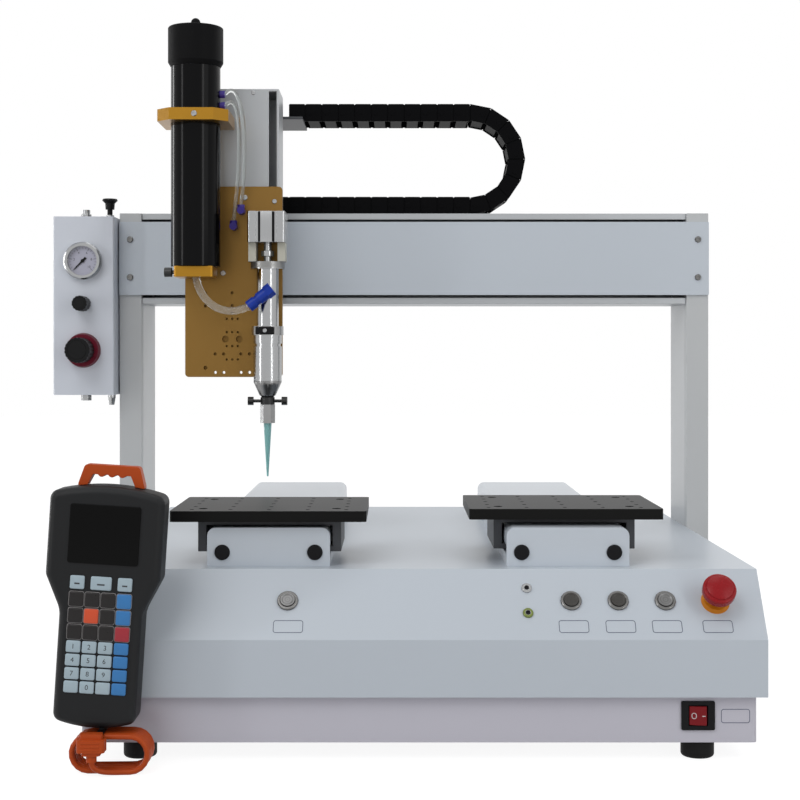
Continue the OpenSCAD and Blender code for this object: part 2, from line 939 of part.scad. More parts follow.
// Cartridge barrel with cap, clamp and foot
module barrel() {
  color("#161616")
    translate([barrel_x, barrel_y, barrel_z])
      difference() {
        cylinder(d = barrel_dia, h = barrel_len);
        translate([0, 0, barrel_wall])
          cylinder(d = barrel_dia - 2 * barrel_wall, h = barrel_len);
      }
}
module barrel_cap() {
  plug = barrel_dia - 2 * barrel_wall - 2 * clear;
  color("#101010")
    translate([barrel_x, barrel_y, barrel_z + barrel_len]) {
      translate([0, 0, -8])
        cylinder(d = plug, h = 9);
      cylinder(d1 = barrel_dia, d2 = cap_dia, h = 5);
      translate([0, 0, 5])
        cylinder(d = cap_dia, h = cap_h - 6);
      translate([0, 0, cap_h - 1])
        cylinder(d1 = cap_dia, d2 = cap_dia - 2, h = 1);
      translate([0, 0, cap_h])
        cylinder(d = 5, h = 3);
      translate([0, 0, cap_h + 5.5])
        sphere(d = 10);
    }
}
module barrel_clamp() {
  reach = plate_y - barrel_y;
  side = barrel_dia + 2 * clamp_wall;
  color("goldenrod") {
    translate([barrel_x, barrel_y, clamp_z])
      difference() {
        linear_extrude(clamp_t)
          polygon([[-side / 2, reach], [-side / 2, -side / 2 + clamp_cut], [-side / 2 + clamp_cut, -side / 2],
            [side / 2 - clamp_cut, -side / 2], [side / 2, -side / 2 + clamp_cut], [side / 2, reach]]);
        translate([0, 0, -1])
          cylinder(d = barrel_dia + 2 * clear, h = clamp_t + 2);
      }
    translate([barrel_x - 14, plate_y - bar_t, barrel_z + 10])
      cube([28, bar_t, clamp_z - barrel_z - 10 + eps]);
  }
}
module barrel_foot() {
  color("goldenrod")
    translate([barrel_x, barrel_y, barrel_z - foot_t]) {
      difference() {
        slab(41, 41, foot_t, 3);
        translate([0, 0, -1])
          cylinder(d = feed_dia + 1, h = 6 + clear);
      }
      translate([0, 18, 0])
        linear_extrude(foot_t)
          translate([-10, 0])
            square([20, plate_y - barrel_y - 18]);
      translate([-20, 0, foot_t / 2])
        rotate([0, -90, 0]) {
          cylinder(d = 4, h = 6);
          translate([0, 0, 5])
            cylinder(d = 10, h = 8);
        }
    }
}

// Dispense valve
module valve_place() {
  translate([valve_x, valve_y, 0])
    children();
}
module valve_cylinder() {
  color("silver")
    valve_place()
      difference() {
        translate([0, 0, cyl_z])
          linear_extrude(cyl_h)
            difference() {
              rrect(valve_side, valve_side, 3);
              for (a = [0 : 90 : 270])
                rotate(a)
                  for (x = [-9, 9])
                    translate([x, -valve_side / 2])
                      square([4, 4], center = true);
            }
        translate([0, 0, cyl_z - 1])
          cylinder(d = rod_dia + 2 * clear, h = cyl_h - 5);
      }
}
module valve_body() {
  color("lightgray")
    valve_place() {
      rotate_extrude()
        difference() {
          polygon([[0, ring_z], [nut_r, ring_z], [nut_r, ring_z + 7.5], [nut_r - 1, ring_z + 8.5], [neck_r, cone_z],
            [valve_body_dia / 2, low_z], [valve_body_dia / 2, low_z + 38],
            [valve_body_dia / 2 - 1.2, low_z + 38], [valve_body_dia / 2 - 1.2, low_z + 41],
            [valve_body_dia / 2, low_z + 41], [valve_body_dia / 2, tube_z], [17, tube_z],
            [17, tube_z + 9.5], [valve_tube_dia / 2, tube_z + 9.5],
            [valve_tube_dia / 2, yoke_z - flange_t], [18, yoke_z - flange_t], [18, yoke_z], [0, yoke_z]]);
          translate([-eps, yoke_z - 20])
            square([rod_dia / 2 + clear + eps, 30]);
        }
      translate([0, 0, hex_z])
        cylinder(d = hex_af / cos(30), h = ring_z - hex_z + eps, $fn = 6);
      for (s = [-1, 1])
        translate([s * (cheek_in + cheek_t / 2) - cheek_t / 2, -12, yoke_z - eps])
          cube([cheek_t, 24, cyl_z - yoke_z + eps]);
      for (s = [-1, 1])
        translate([0, 0, ring_z + 3.8])
          rotate([0, s * 90, 0]) {
            cylinder(d = 3.4, h = thumb_out - 5);
            translate([0, 0, thumb_out - 6])
              cylinder(d = 9, h = 6);
          }
    }
}
module valve_rod() {
  color("gainsboro")
    valve_place() {
      translate([0, 0, yoke_z - 14])
        cylinder(d = rod_dia, h = cyl_z - yoke_z + 32);
      translate([0, 0, yoke_z + 6])
        cylinder(d = rod_dia + 6, h = 6);
    }
}
module needle() {
  color("mediumturquoise")
    valve_place()
      translate([0, 0, hex_z - needle_len])
        difference() {
          cylinder(d1 = 1.8, d2 = needle_dia, h = needle_len);
          translate([0, 0, -eps])
            cylinder(d1 = 0.8, d2 = needle_dia - 2, h = needle_len - 2);
        }
}

// Tubes of the head, held at both ends
module feed_tube() {
  start = [barrel_x, barrel_y, barrel_z - foot_t + 5];
  end = elbow - (elbow_arm + elbow_neck + 2) * elbow_dir;
  color("aliceblue") {
    tube(curve(start, start + [2, 0, -feed_swing], end - feed_swing * elbow_dir, end, 18), feed_dia, 10);
    for (k = [0, 1]) {
      top = [barrel_x + barrel_dia / 2 + port_len, barrel_y, port_z - port_pitch * k];
      low = [link_x - link_step[0] * k, plate_y - 12, link_z + 6 - link_step[1] * k];
      tube(curve(top, top + [18, 0, 22], low + [10, -8, 70], low, 20), air_tube_dia, 8);
    }
  }
}
module head_fittings() {
  color("royalblue") {
    translate(elbow) {
      rotate([-90, 0, 0])
        cylinder(d = 10, h = elbow_out + 0.5);
      rotate([0, 90 - elbow_a, 0])
        cylinder(d = elbow_dia + 2, h = 8, $fn = 6);
      rotate([0, 270 - elbow_a, 0]) {
        cylinder(d = elbow_dia, h = elbow_arm);
        translate([0, 0, elbow_arm - eps])
          cylinder(d = elbow_dia - 2.5, h = elbow_neck + 2 * eps);
        translate([0, 0, elbow_arm + elbow_neck])
          cylinder(d = elbow_dia - 0.5, h = elbow_collar);
      }
    }
    for (k = [0, 1]) {
      translate([barrel_x + barrel_dia / 2 - 0.5, barrel_y, port_z - port_pitch * k])
        rotate([0, 90, 0])
          cylinder(d = air_tube_dia + 4, h = port_len + 0.5);
      translate([link_x - link_step[0] * k, plate_y, link_z - link_step[1] * k]) {
        to_front()
          cylinder(d = air_tube_dia + 4, h = 16);
        translate([0, -12, 0])
          cylinder(d = air_tube_dia + 4, h = 6);
      }
    }
  }
}

// Table guide: a long cover with round shoulders and a slot along each side
module guide_cover(side) {
  color("whitesmoke")
    translate([side * table_x, guide_front, base_z])
      difference() {
        rotate([-90, 0, 0])
          mirror([0, 1, 0])
            linear_extrude(guide_len)
              guide_outline(0);
        translate([0, sheet, -eps])
          rotate([-90, 0, 0])
            mirror([0, 1, 0])
              linear_extrude(guide_len - 2 * sheet)
                guide_outline(sheet);
        for (s = [-1, 1])
          translate([s * guide_w / 2, guide_len / 2, tongue_z - base_z + tongue_t / 2])
            cube([4 * sheet, guide_len - 4 * sheet, tongue_t + 4], center = true);
        for (x = [-1, 1])
          translate([x * (guide_w / 2 - 14), -1, 13])
            rotate([-90, 0, 0])
              cylinder(d = plug_dia - 4, h = 4 * sheet);
      }
}
module guide_outline(w) {
  r = 8 - w;
  half = guide_w / 2 - w;
  top = guide_h - w;
  translate([-half, 0])
    square([2 * half, top - r]);
  translate([-half + r, 0])
    square([2 * (half - r), top]);
  for (s = [-1, 1])
    translate([s * (half - r), top - r])
      circle(r);
}
module guide_covers() {
  guide_cover(-1);
  guide_cover(1);
}
module cover_plugs() {
  color("#141414")
    for (s = [-1, 1], x = [-1, 1])
      translate([s * table_x + x * (guide_w / 2 - 14), guide_front, base_z + 13])
        to_front() {
          cylinder(d1 = plug_dia, d2 = plug_dia - 2, h = 2.5);
          translate([0, 0, -6])
            cylinder(d = plug_dia - 4 - 2 * clear, h = 6 + eps);
        }
}

// Work table with its fixture holes
module table(side, front) {
  color("#1b1b1b")
    translate([side * table_x, front + table_d / 2, table_z])
      difference() {
        slab(table_w, table_d, table_t, 3);
        for (x = [-1, 1], y = [-1, 1])
          translate([x * fixture_x / 2, y * fixture_y / 2, -1])
            cylinder(d = fixture_dia, h = table_t + 2);
        for (x = [-2 : 2], y = [-2 : 2])
          translate([x * grid_x, y * grid_y, -1])
            cylinder(d = grid_dia, h = table_t + 2, $fn = 32);
      }
}
module left_table() table(-1, left_front);
module right_table() table(1, right_front);

// Table bracket: a closed section round the guide cover, with jaws on the rail inside
module table_bracket(side, front) {
  inner = guide_w / 2 + bracket_gap;
  jaw = 12;
  color("#3c3f44")
    translate([side * table_x, front + table_d / 2, 0])
      rotate([90, 0, 0])
        linear_extrude(table_d - 2 * bracket_inset, center = true) {
          difference() {
            translate([-inner - bracket_t, tongue_z])
              square([2 * (inner + bracket_t), table_z - tongue_z]);
            translate([-inner, tongue_z + tongue_t])
              square([2 * inner, guide_top + 1 - tongue_z - tongue_t]);
          }
          for (s = [-1, 1])
            translate([s * (rail_w / 2 + clear + jaw / 2) - jaw / 2, base_z + 4])
              square([jaw, tongue_z - base_z - 4 + eps]);
        }
}
module left_bracket() table_bracket(-1, left_front);
module right_bracket() table_bracket(1, right_front);

// Air panel on the left post
module gauge_box() {
  color("lightgray") {
    translate([air_x, air_y + air_d / 2, air_z])
      difference() {
        slab(air_w, air_d, air_h, 2);
        translate([0, 0, sheet])
          slab(air_w - 2 * sheet, air_d - 2 * sheet, air_h - 2 * sheet, 1);
        for (c = [[gauge_z, gauge_dia - 4], [suck_z, 8], [reg_z, 24]])
          translate([0, -air_d / 2, c[0] - air_z])
            to_front()
              cylinder(d = c[1], h = 4 * sheet, center = true);
        translate([air_knob_x - air_x, 0, air_h])
          cylinder(d = 10, h = 4 * sheet, center = true);
      }
    translate([air_x + air_w / 2 - eps, post_front + 6, air_z + 20])
      cube([1.5 + eps, 20, air_h - 40]);
  }
}
module gauge_place(z) {
  translate([air_x, air_y, z])
    to_front()
      children();
}
module gauge() {
  color("silver")
    gauge_place(gauge_z)
      difference() {
        union() {
          cylinder(d = gauge_dia, h = 7);
          translate([0, 0, 7 - eps])
            cylinder(d1 = gauge_dia, d2 = gauge_dia - 3, h = 2);
          translate([0, 0, -20])
            cylinder(d = gauge_dia - 4 - 2 * clear, h = 20 + eps);
        }
        translate([0, 0, 4])
          cylinder(d = dial_dia, h = 10);
        translate([0, 0, 1])
          cylinder(d = 2 + 2 * run, h = 10);
      }
}
module gauge_needle() {
  color("black")
    gauge_place(gauge_z)
      rotate([0, 0, 225])
        union() {
          translate([0, 0, 1 + clear])
            cylinder(d = 2, h = 4.2);
          translate([0, 0, 4.6])
            linear_extrude(0.8)
              polygon([[-5, -1.3], [dial_dia / 2 - 3, -0.3], [dial_dia / 2 - 3, 0.3], [-5, 1.3]]);
          translate([0, 0, 4.6])
            cylinder(d = 4, h = 1.2);
        }
}
// Control knob with flutes round its rim, on a shaft through the panel
module fluted_knob(d, h, shaft, flutes) {
  difference() {
    linear_extrude(h)
      difference() {
        circle(d / 2);
        for (i = [0 : flutes - 1])
          rotate(360 * i / flutes)
            translate([d / 2 + 0.5, 0])
              circle(1.1);
      }
    translate([0, 0, h - 0.6])
      ring(d * 0.8, d * 0.7, 1);
  }
  translate([0, 0, -12])
    cylinder(d = shaft, h = 12 + eps);
}
module suckback_knob() {
  color("#151515")
    gauge_place(suck_z)
      translate([0, 0, 1])
        fluted_knob(suck_dia, suck_len, 8 - 2 * clear, 14);
}
module regulator_collar() {
  color("#6b1420")
    gauge_place(reg_z)
      difference() {
        union() {
          cylinder(d1 = collar_dia, d2 = collar_dia - 3, h = 9);
          translate([0, 0, -14])
            cylinder(d = 24 - 2 * clear, h = 14 + eps);
        }
        translate([0, 0, -12])
          cylinder(d = 12 + 2 * clear, h = 30);
      }
}
module regulator_knob() {
  color("#121212")
    gauge_place(reg_z)
      translate([0, 0, 9 + clear])
        fluted_knob(reg_dia, reg_len, 12, 20);
}
module air_valve_knob() {
  color("#121212")
    translate([air_knob_x, air_y + air_d / 2, air_z + air_h]) {
      translate([0, 0, -16])
        cylinder(d = 6, h = push_z + 17);
      translate([0, 0, push_z])
        cylinder(d1 = 10, d2 = 11, h = 7);
      translate([0, 0, push_z + 7 - eps])
        cylinder(d1 = 11, d2 = 17.5, h = 3);
      translate([0, 0, push_z + 10 - 2 * eps])
        cylinder(d1 = 17.5, d2 = 16, h = 2);
    }
}
module air_fittings() {
  color("silver") {
    translate([air_x - 3, air_y + air_d / 2, air_z + air_h]) {
      cylinder(d = 12, h = 5, $fn = 6);
      translate([0, 0, 5 - eps])
        cylinder(d = 9, h = 5);
    }
    translate([air_knob_x, air_y + air_d / 2, air_z + air_h])
      difference() {
        translate([0, 0, -8])
          cylinder(d = 10 - 2 * clear, h = 12);
        translate([0, 0, -9])
          cylinder(d = 6 + 2 * clear, h = 24);
      }
    translate([air_x - 3, air_y + air_d / 2, air_z - 7])
      cylinder(d = 12, h = 7, $fn = 6);
    translate([air_x + 26, air_y + air_d / 2, air_z - 12]) {
      cylinder(d1 = 6, d2 = 9, h = 9);
      translate([0, 0, 9 - eps])
        cylinder(d = 9, h = 3 + eps);
    }
  }
}

// Teach pendant: a wide head over a slim grip, leaning against the cabinet
module pendant_place() {
  translate([pend_x, pend_y, pend_z])
    rotate([0, pend_tilt, 0])
      to_front()
        children();
}
module pendant_outline() {
  chin_r = grip_w * grip_w / (8 * pend_chin);
  top = pend_h + pend_crown;
  offset(r = 8)
    offset(delta = -8)
      offset(r = -24)
        offset(delta = 24)
          intersection() {
            polygon([[-grip_w / 2, -2 * pend_chin], [grip_w / 2, -2 * pend_chin], [grip_w / 2, grip_h],
              [pend_w / 2, pend_h - head_h], [pend_w / 2, top], [-pend_w / 2, top],
              [-pend_w / 2, pend_h - head_h], [-grip_w / 2, grip_h]]);
            translate([0, top - crown_r])
              circle(crown_r, $fn = 180);
            union() {
              translate([0, chin_r - pend_chin])
                circle(chin_r, $fn = 120);
              translate([-pend_w, grip_h / 2])
                square([2 * pend_w, pend_h]);
            }
          }
}
module pendant_body() {
  color("#2a2c2e")
    pendant_place()
      translate([0, 0, pend_edge])
        minkowski() {
          linear_extrude(pend_t - 2 * pend_edge)
            offset(delta = -pend_edge)
              pendant_outline();
          sphere(pend_edge, $fn = 24);
        }
}
module pendant_screen() {
  color("#0a0c10")
    pendant_place()
      translate([0, pend_h - 37.5, pend_t])
        slab(61, 51, 1.2, 2);
}
// Handle bow over the pendant's top edge
module pendant_handle() {
  top = handle_w / 2 - 5;
  low = handle_w / 2;
  color("orangered")
    pendant_place()
      translate([0, pend_h + pend_crown, 8])
        linear_extrude(handle_t)
          difference() {
            offset(r = 4)
              offset(delta = -4)
                polygon([[-low, -10], [low, -10], [low, 0], [top, handle_h], [-top, handle_h], [-low, 0]]);
            difference() {
              polygon([[-low + handle_bar, -11], [low - handle_bar, -11], [low - handle_bar, 0],
                [top - handle_bar + 1, handle_h - handle_bar], [-top + handle_bar - 1, handle_h - handle_bar],
                [-low + handle_bar, 0]]);
              for (x = [-1 : 1])
                translate([9 * x, handle_h - handle_bar + 1.5])
                  circle(3.5, $fn = 32);
            }
            translate([0, -crown_r])
              circle(crown_r + clear, $fn = 180);
          }
}
module pendant_keys() {
  color("lightgray")
    pendant_place() {
      for (x = [-1, 1])
        translate([x * 20.6, key_row_z, pend_t])
          slab(key_w, 11.6, key_t, 1.5);
      translate([0, key_row_z, pend_t])
        slab(18, 11.6, key_t, 1.5);
      for (c = [0 : 3]) {
        for (r = [0 : 2])
          translate([(c - 1.5) * key_pitch, dark_row_z - r * dark_pitch, pend_t])
            slab(key_w, key_w, key_t, 1.5);
        for (r = [0 : 3])
          translate([(c - 1.5) * key_pitch, pale_row_z - r * pale_pitch, pend_t])
            slab(key_w, 10.2, key_t, 1.5);
      }
    }
}

// Pendant cable: from the grip's end into a tied hank, and from there to its plug
module pendant_cable() {
  color("orangered") {
    tube(curve(cable_exit, cable_exit - [0, 0, 0.55 * cable_bend], hank_in - [0.55 * cable_bend, 0, 0], hank_in, 8),
      cable_dia, 8);
    tube(curve(hank_out, hank_out - [16, 0, 0], plug_end - [0, 0, 11], plug_end, 12), cable_dia, 8);
  }
}
module pendant_hank() {
  color("orangered")
    translate([hank_x, hank_y, hank_r + cable_dia / 2])
      rotate([90, 0, 0])
        linear_extrude(hank_depth, center = true)
          difference() {
            rrect(hank_w, 2 * hank_r + cable_dia, hank_r + cable_dia / 2 - eps);
            rrect(hank_w - 2 * cable_dia, 2 * hank_r - cable_dia, hank_r - cable_dia / 2 - eps);
          }
}
// Plug: a ribbed hood with a boot below and a metal face above, tied upright to the hank
module pendant_plug() {
  color("orangered")
    translate(plug_end) {
      cylinder(d = cable_dia + 4, h = plug_boot + eps);
      translate([0, 0, plug_boot])
        linear_extrude(3 + eps)
          rrect(plug_w - 8, plug_t - 3, 3);
      translate([0, 0, plug_boot + 3])
        linear_extrude(plug_hood - 3)
          difference() {
            rrect(plug_w, plug_t, 3);
            for (s = [-1, 1])
              translate([s * plug_w / 2, 0])
                circle(1.5);
          }
      for (i = [0 : 2])
        translate([0, -plug_rib / 2, plug_boot + 5 + 3 * i])
          linear_extrude(1.4)
            rrect(plug_w - 6, plug_t + plug_rib, 2);
      translate([0, 0, plug_boot + plug_hood - eps])
        linear_extrude(plug_face)
          rrect(19, 8, 2);
    }
}

module at_origin() {
  translate(shift)
    children();
}
at_origin() base_shell();
at_origin() base_pan();
at_origin() feet();
at_origin() button_bezels();
at_origin() estop_collar();
at_origin() rocker_bezel();
at_origin() panel_jacks();
at_origin() rear_ports();
at_origin() left_post();
at_origin() right_post();
at_origin() beam();
at_origin() beam_cover();
at_origin() guide_rails();
at_origin() guide_covers();
at_origin() cover_plugs();
at_origin() gauge_box();
at_origin() gauge();
at_origin() regulator_collar();
at_origin() air_fittings();
at_origin() chain_lower();
at_origin() pendant_body();
at_origin() pendant_handle();
at_origin() pendant_screen();
at_origin() pendant_keys();
at_origin() pendant_cable();
at_origin() pendant_hank();
at_origin() pendant_plug();
at_origin() lone_start_button();
at_origin() manual_button();
at_origin() reset_button();
at_origin() start_button();
at_origin() estop_plunger();
at_origin() estop_button();
at_origin() rocker_switch();
at_origin() gauge_needle();
at_origin() suckback_knob();
at_origin() regulator_knob();
at_origin() air_valve_knob();
at_origin() cross_slide();
at_origin() lift_housing();
at_origin() lift_screw();
at_origin() chain_bracket();
at_origin() chain_upper();
at_origin() chain_bend();
at_origin() lift_block();
at_origin() head_plate();
at_origin() barrel();
at_origin() barrel_cap();
at_origin() barrel_clamp();
at_origin() barrel_foot();
at_origin() valve_cylinder();
at_origin() valve_body();
at_origin() valve_rod();
at_origin() needle();
at_origin() feed_tube();
at_origin() head_fittings();
at_origin() left_bracket();
at_origin() right_bracket();
at_origin() left_table();
at_origin() right_table();
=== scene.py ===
import json
import math
import bpy
from mathutils import Matrix, Vector


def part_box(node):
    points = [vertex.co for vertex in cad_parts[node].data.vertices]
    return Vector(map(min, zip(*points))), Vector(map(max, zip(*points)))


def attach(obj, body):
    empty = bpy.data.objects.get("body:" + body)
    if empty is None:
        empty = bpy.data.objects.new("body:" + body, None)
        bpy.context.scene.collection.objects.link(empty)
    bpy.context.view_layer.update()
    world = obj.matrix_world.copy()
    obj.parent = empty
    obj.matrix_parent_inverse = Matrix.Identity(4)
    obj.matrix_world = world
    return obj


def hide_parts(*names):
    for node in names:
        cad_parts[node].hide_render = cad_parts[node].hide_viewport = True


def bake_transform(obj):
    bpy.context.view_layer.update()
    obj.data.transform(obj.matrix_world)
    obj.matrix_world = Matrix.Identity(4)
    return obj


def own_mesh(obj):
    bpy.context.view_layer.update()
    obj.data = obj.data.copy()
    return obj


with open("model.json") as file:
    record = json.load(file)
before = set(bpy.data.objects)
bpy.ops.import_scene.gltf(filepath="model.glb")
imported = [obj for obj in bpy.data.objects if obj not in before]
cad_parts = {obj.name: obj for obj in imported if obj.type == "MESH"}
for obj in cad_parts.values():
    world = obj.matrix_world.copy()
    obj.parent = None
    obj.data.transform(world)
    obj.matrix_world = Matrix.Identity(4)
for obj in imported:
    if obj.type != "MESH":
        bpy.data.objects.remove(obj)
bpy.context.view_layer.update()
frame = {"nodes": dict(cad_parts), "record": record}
bodyOf = {n: b for b, names in frame["record"]["behaviour"]["bodies"].items() for n in names}
slotOf = {s["node"]: s["material_slot"] for s in frame["record"]["subparts"]}
print("frame loaded,", len(bodyOf), "nodes")

millimetre = 0.001
shellLow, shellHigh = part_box("base_shell")
homeX = (shellLow[0] + shellHigh[0]) / 2  # the base's centre plane
homeY = (shellLow[1] + shellHigh[1]) / 2


def at(x, y, z):  # millimetres from the base's centre to the frame
    return Vector((homeX + x * millimetre, homeY + y * millimetre, z * millimetre))


def deselect():
    if bpy.context.object and bpy.context.object.mode != "OBJECT":
        bpy.ops.object.mode_set(mode="OBJECT")
    bpy.ops.object.select_all(action="DESELECT")


def pick(obj):
    deselect()
    obj.select_set(True)
    bpy.context.view_layer.objects.active = obj


deselect()

# camera: level, a little right of the head, as the photograph was taken
photoView = {"eye": (-21.6, -1632, 364), "lens": 67.5, "side": 5 / 800, "rise": -47 / 800}
bpy.ops.object.camera_add(location=at(*photoView["eye"]), rotation=(math.pi / 2, 0, 0))
camera = bpy.context.object
camera.name = "photoCamera"
camera.data.lens = photoView["lens"]
camera.data.shift_x = photoView["side"]
camera.data.shift_y = photoView["rise"]
camera.data.clip_end = 50
bpy.context.scene.camera = camera
print("camera set")


# finishes
def newMaterial(name):
    mat = bpy.data.materials.new(name)
    mat.use_nodes = True
    nodes = mat.node_tree.nodes
    return mat, nodes, mat.node_tree.links, nodes["Principled BSDF"]


def grain(nodes, links, scale, detail, stretch=(1, 1, 1)):
    coord = nodes.new("ShaderNodeTexCoord")
    mapping = nodes.new("ShaderNodeMapping")
    mapping.inputs["Scale"].default_value = stretch
    noise = nodes.new("ShaderNodeTexNoise")
    noise.inputs["Scale"].default_value = scale
    noise.inputs["Detail"].default_value = detail
    links.new(coord.outputs["Object"], mapping.inputs["Vector"])
    links.new(mapping.outputs["Vector"], noise.inputs["Vector"])
    return noise


def finish(name, color, rough, metal=0.0, tint=0.06, cloud=14, fine=900, bump=0.05, roughSpread=0.06,
           stretch=(1, 1, 1), coat=0.0, specular=0.5, fineDepth=0.00005):
    mat, nodes, links, shader = newMaterial(name)
    cloudNoise = grain(nodes, links, cloud, 3)
    tone = nodes.new("ShaderNodeMix")
    tone.data_type = "RGBA"
    darker = [c * (1 - tint) for c in color]
    lighter = [min(1.0, c * (1 + tint)) for c in color]
    tone.inputs["A"].default_value = (*darker, 1)
    tone.inputs["B"].default_value = (*lighter, 1)
    links.new(cloudNoise.outputs["Fac"], tone.inputs["Factor"])
    links.new(tone.outputs["Result"], shader.inputs["Base Color"])
    fineNoise = grain(nodes, links, fine, 2, stretch)
    spread = nodes.new("ShaderNodeMapRange")
    spread.inputs["To Min"].default_value = max(0.02, rough - roughSpread)
    spread.inputs["To Max"].default_value = min(1.0, rough + roughSpread)
    links.new(fineNoise.outputs["Fac"], spread.inputs["Value"])
    links.new(spread.outputs["Result"], shader.inputs["Roughness"])
    relief = nodes.new("ShaderNodeBump")
    relief.inputs["Strength"].default_value = bump
    relief.inputs["Distance"].default_value = fineDepth
    links.new(fineNoise.outputs["Fac"], relief.inputs["Height"])
    links.new(relief.outputs["Normal"], shader.inputs["Normal"])
    shader.inputs["Metallic"].default_value = metal
    shader.inputs["Specular IOR Level"].default_value = specular
    shader.inputs["Coat Weight"].default_value = coat
    shader.inputs["Coat Roughness"].default_value = 0.08
    return mat


def turnedFinish(name, color, rough, axisPlace, turn, ringScale=140):  # rings left by the lathe round one axis
    mat, nodes, links, shader = newMaterial(name)
    coord = nodes.new("ShaderNodeTexCoord")
    shiftNode = nodes.new("ShaderNodeVectorMath")
    shiftNode.operation = "SUBTRACT"
    shiftNode.inputs[1].default_value = axisPlace
    mapping = nodes.new("ShaderNodeMapping")
    mapping.inputs["Rotation"].default_value = turn
    rings = nodes.new("ShaderNodeTexWave")
    rings.wave_type = "RINGS"
    rings.rings_direction = "Z"
    rings.inputs["Scale"].default_value = ringScale
    rings.inputs["Distortion"].default_value = 0.6
    links.new(coord.outputs["Object"], shiftNode.inputs[0])
    links.new(shiftNode.outputs["Vector"], mapping.inputs["Vector"])
    links.new(mapping.outputs["Vector"], rings.inputs["Vector"])
    tone = nodes.new("ShaderNodeMix")
    tone.data_type = "RGBA"
    tone.inputs["A"].default_value = (*[c * 0.72 for c in color], 1)
    tone.inputs["B"].default_value = (*color, 1)
    links.new(rings.outputs["Fac"], tone.inputs["Factor"])
    links.new(tone.outputs["Result"], shader.inputs["Base Color"])
    relief = nodes.new("ShaderNodeBump")
    relief.inputs["Strength"].default_value = 0.35
    relief.inputs["Distance"].default_value = 0.0001
    links.new(rings.outputs["Fac"], relief.inputs["Height"])
    links.new(relief.outputs["Normal"], shader.inputs["Normal"])
    shader.inputs["Metallic"].default_value = 1.0
    shader.inputs["Roughness"].default_value = rough
    return mat


def clearFinish(name, color, rough, transmission, ior=1.45):
    mat = finish(name, color, rough, tint=0.02, bump=0.01)
    shader = mat.node_tree.nodes["Principled BSDF"]
    shader.inputs["Transmission Weight"].default_value = transmission
    shader.inputs["IOR"].default_value = ior
    return mat


def banded(mat, axis, bands):  # several finishes along an axis: (start in metres, colour, roughness, metal)
    nodes, links = mat.node_tree.nodes, mat.node_tree.links
    shader = nodes["Principled BSDF"]
    coord = nodes.new("ShaderNodeTexCoord")
    split = nodes.new("ShaderNodeSeparateXYZ")
    span = nodes.new("ShaderNodeMapRange")
    first, last = bands[0][0], bands[-1][0] + 0.01
    span.inputs["From Min"].default_value = first
    span.inputs["From Max"].default_value = last
    tones = nodes.new("ShaderNodeValToRGB")
    traits = nodes.new("ShaderNodeValToRGB")
    for ramp, values in ((tones, [b[1] for b in bands]), (traits, [(b[2], b[3], 0) for b in bands])):
        ramp.color_ramp.interpolation = "CONSTANT"
        while len(ramp.color_ramp.elements) < len(bands):
            ramp.color_ramp.elements.new(1.0)
        for stop, band, value in zip(ramp.color_ramp.elements, bands, values):
            stop.position = (band[0] - first) / (last - first)
            stop.color = (*value, 1)
        links.new(span.outputs["Result"], ramp.inputs["Fac"])
    parts = nodes.new("ShaderNodeSeparateColor")
    links.new(coord.outputs["Object"], split.inputs["Vector"])
    links.new(split.outputs[axis], span.inputs["Value"])
    links.new(tones.outputs["Color"], shader.inputs["Base Color"])
    links.new(traits.outputs["Color"], parts.inputs["Color"])
    links.new(parts.outputs["Red"], shader.inputs["Roughness"])
    links.new(parts.outputs["Green"], shader.inputs["Metallic"])
    return mat


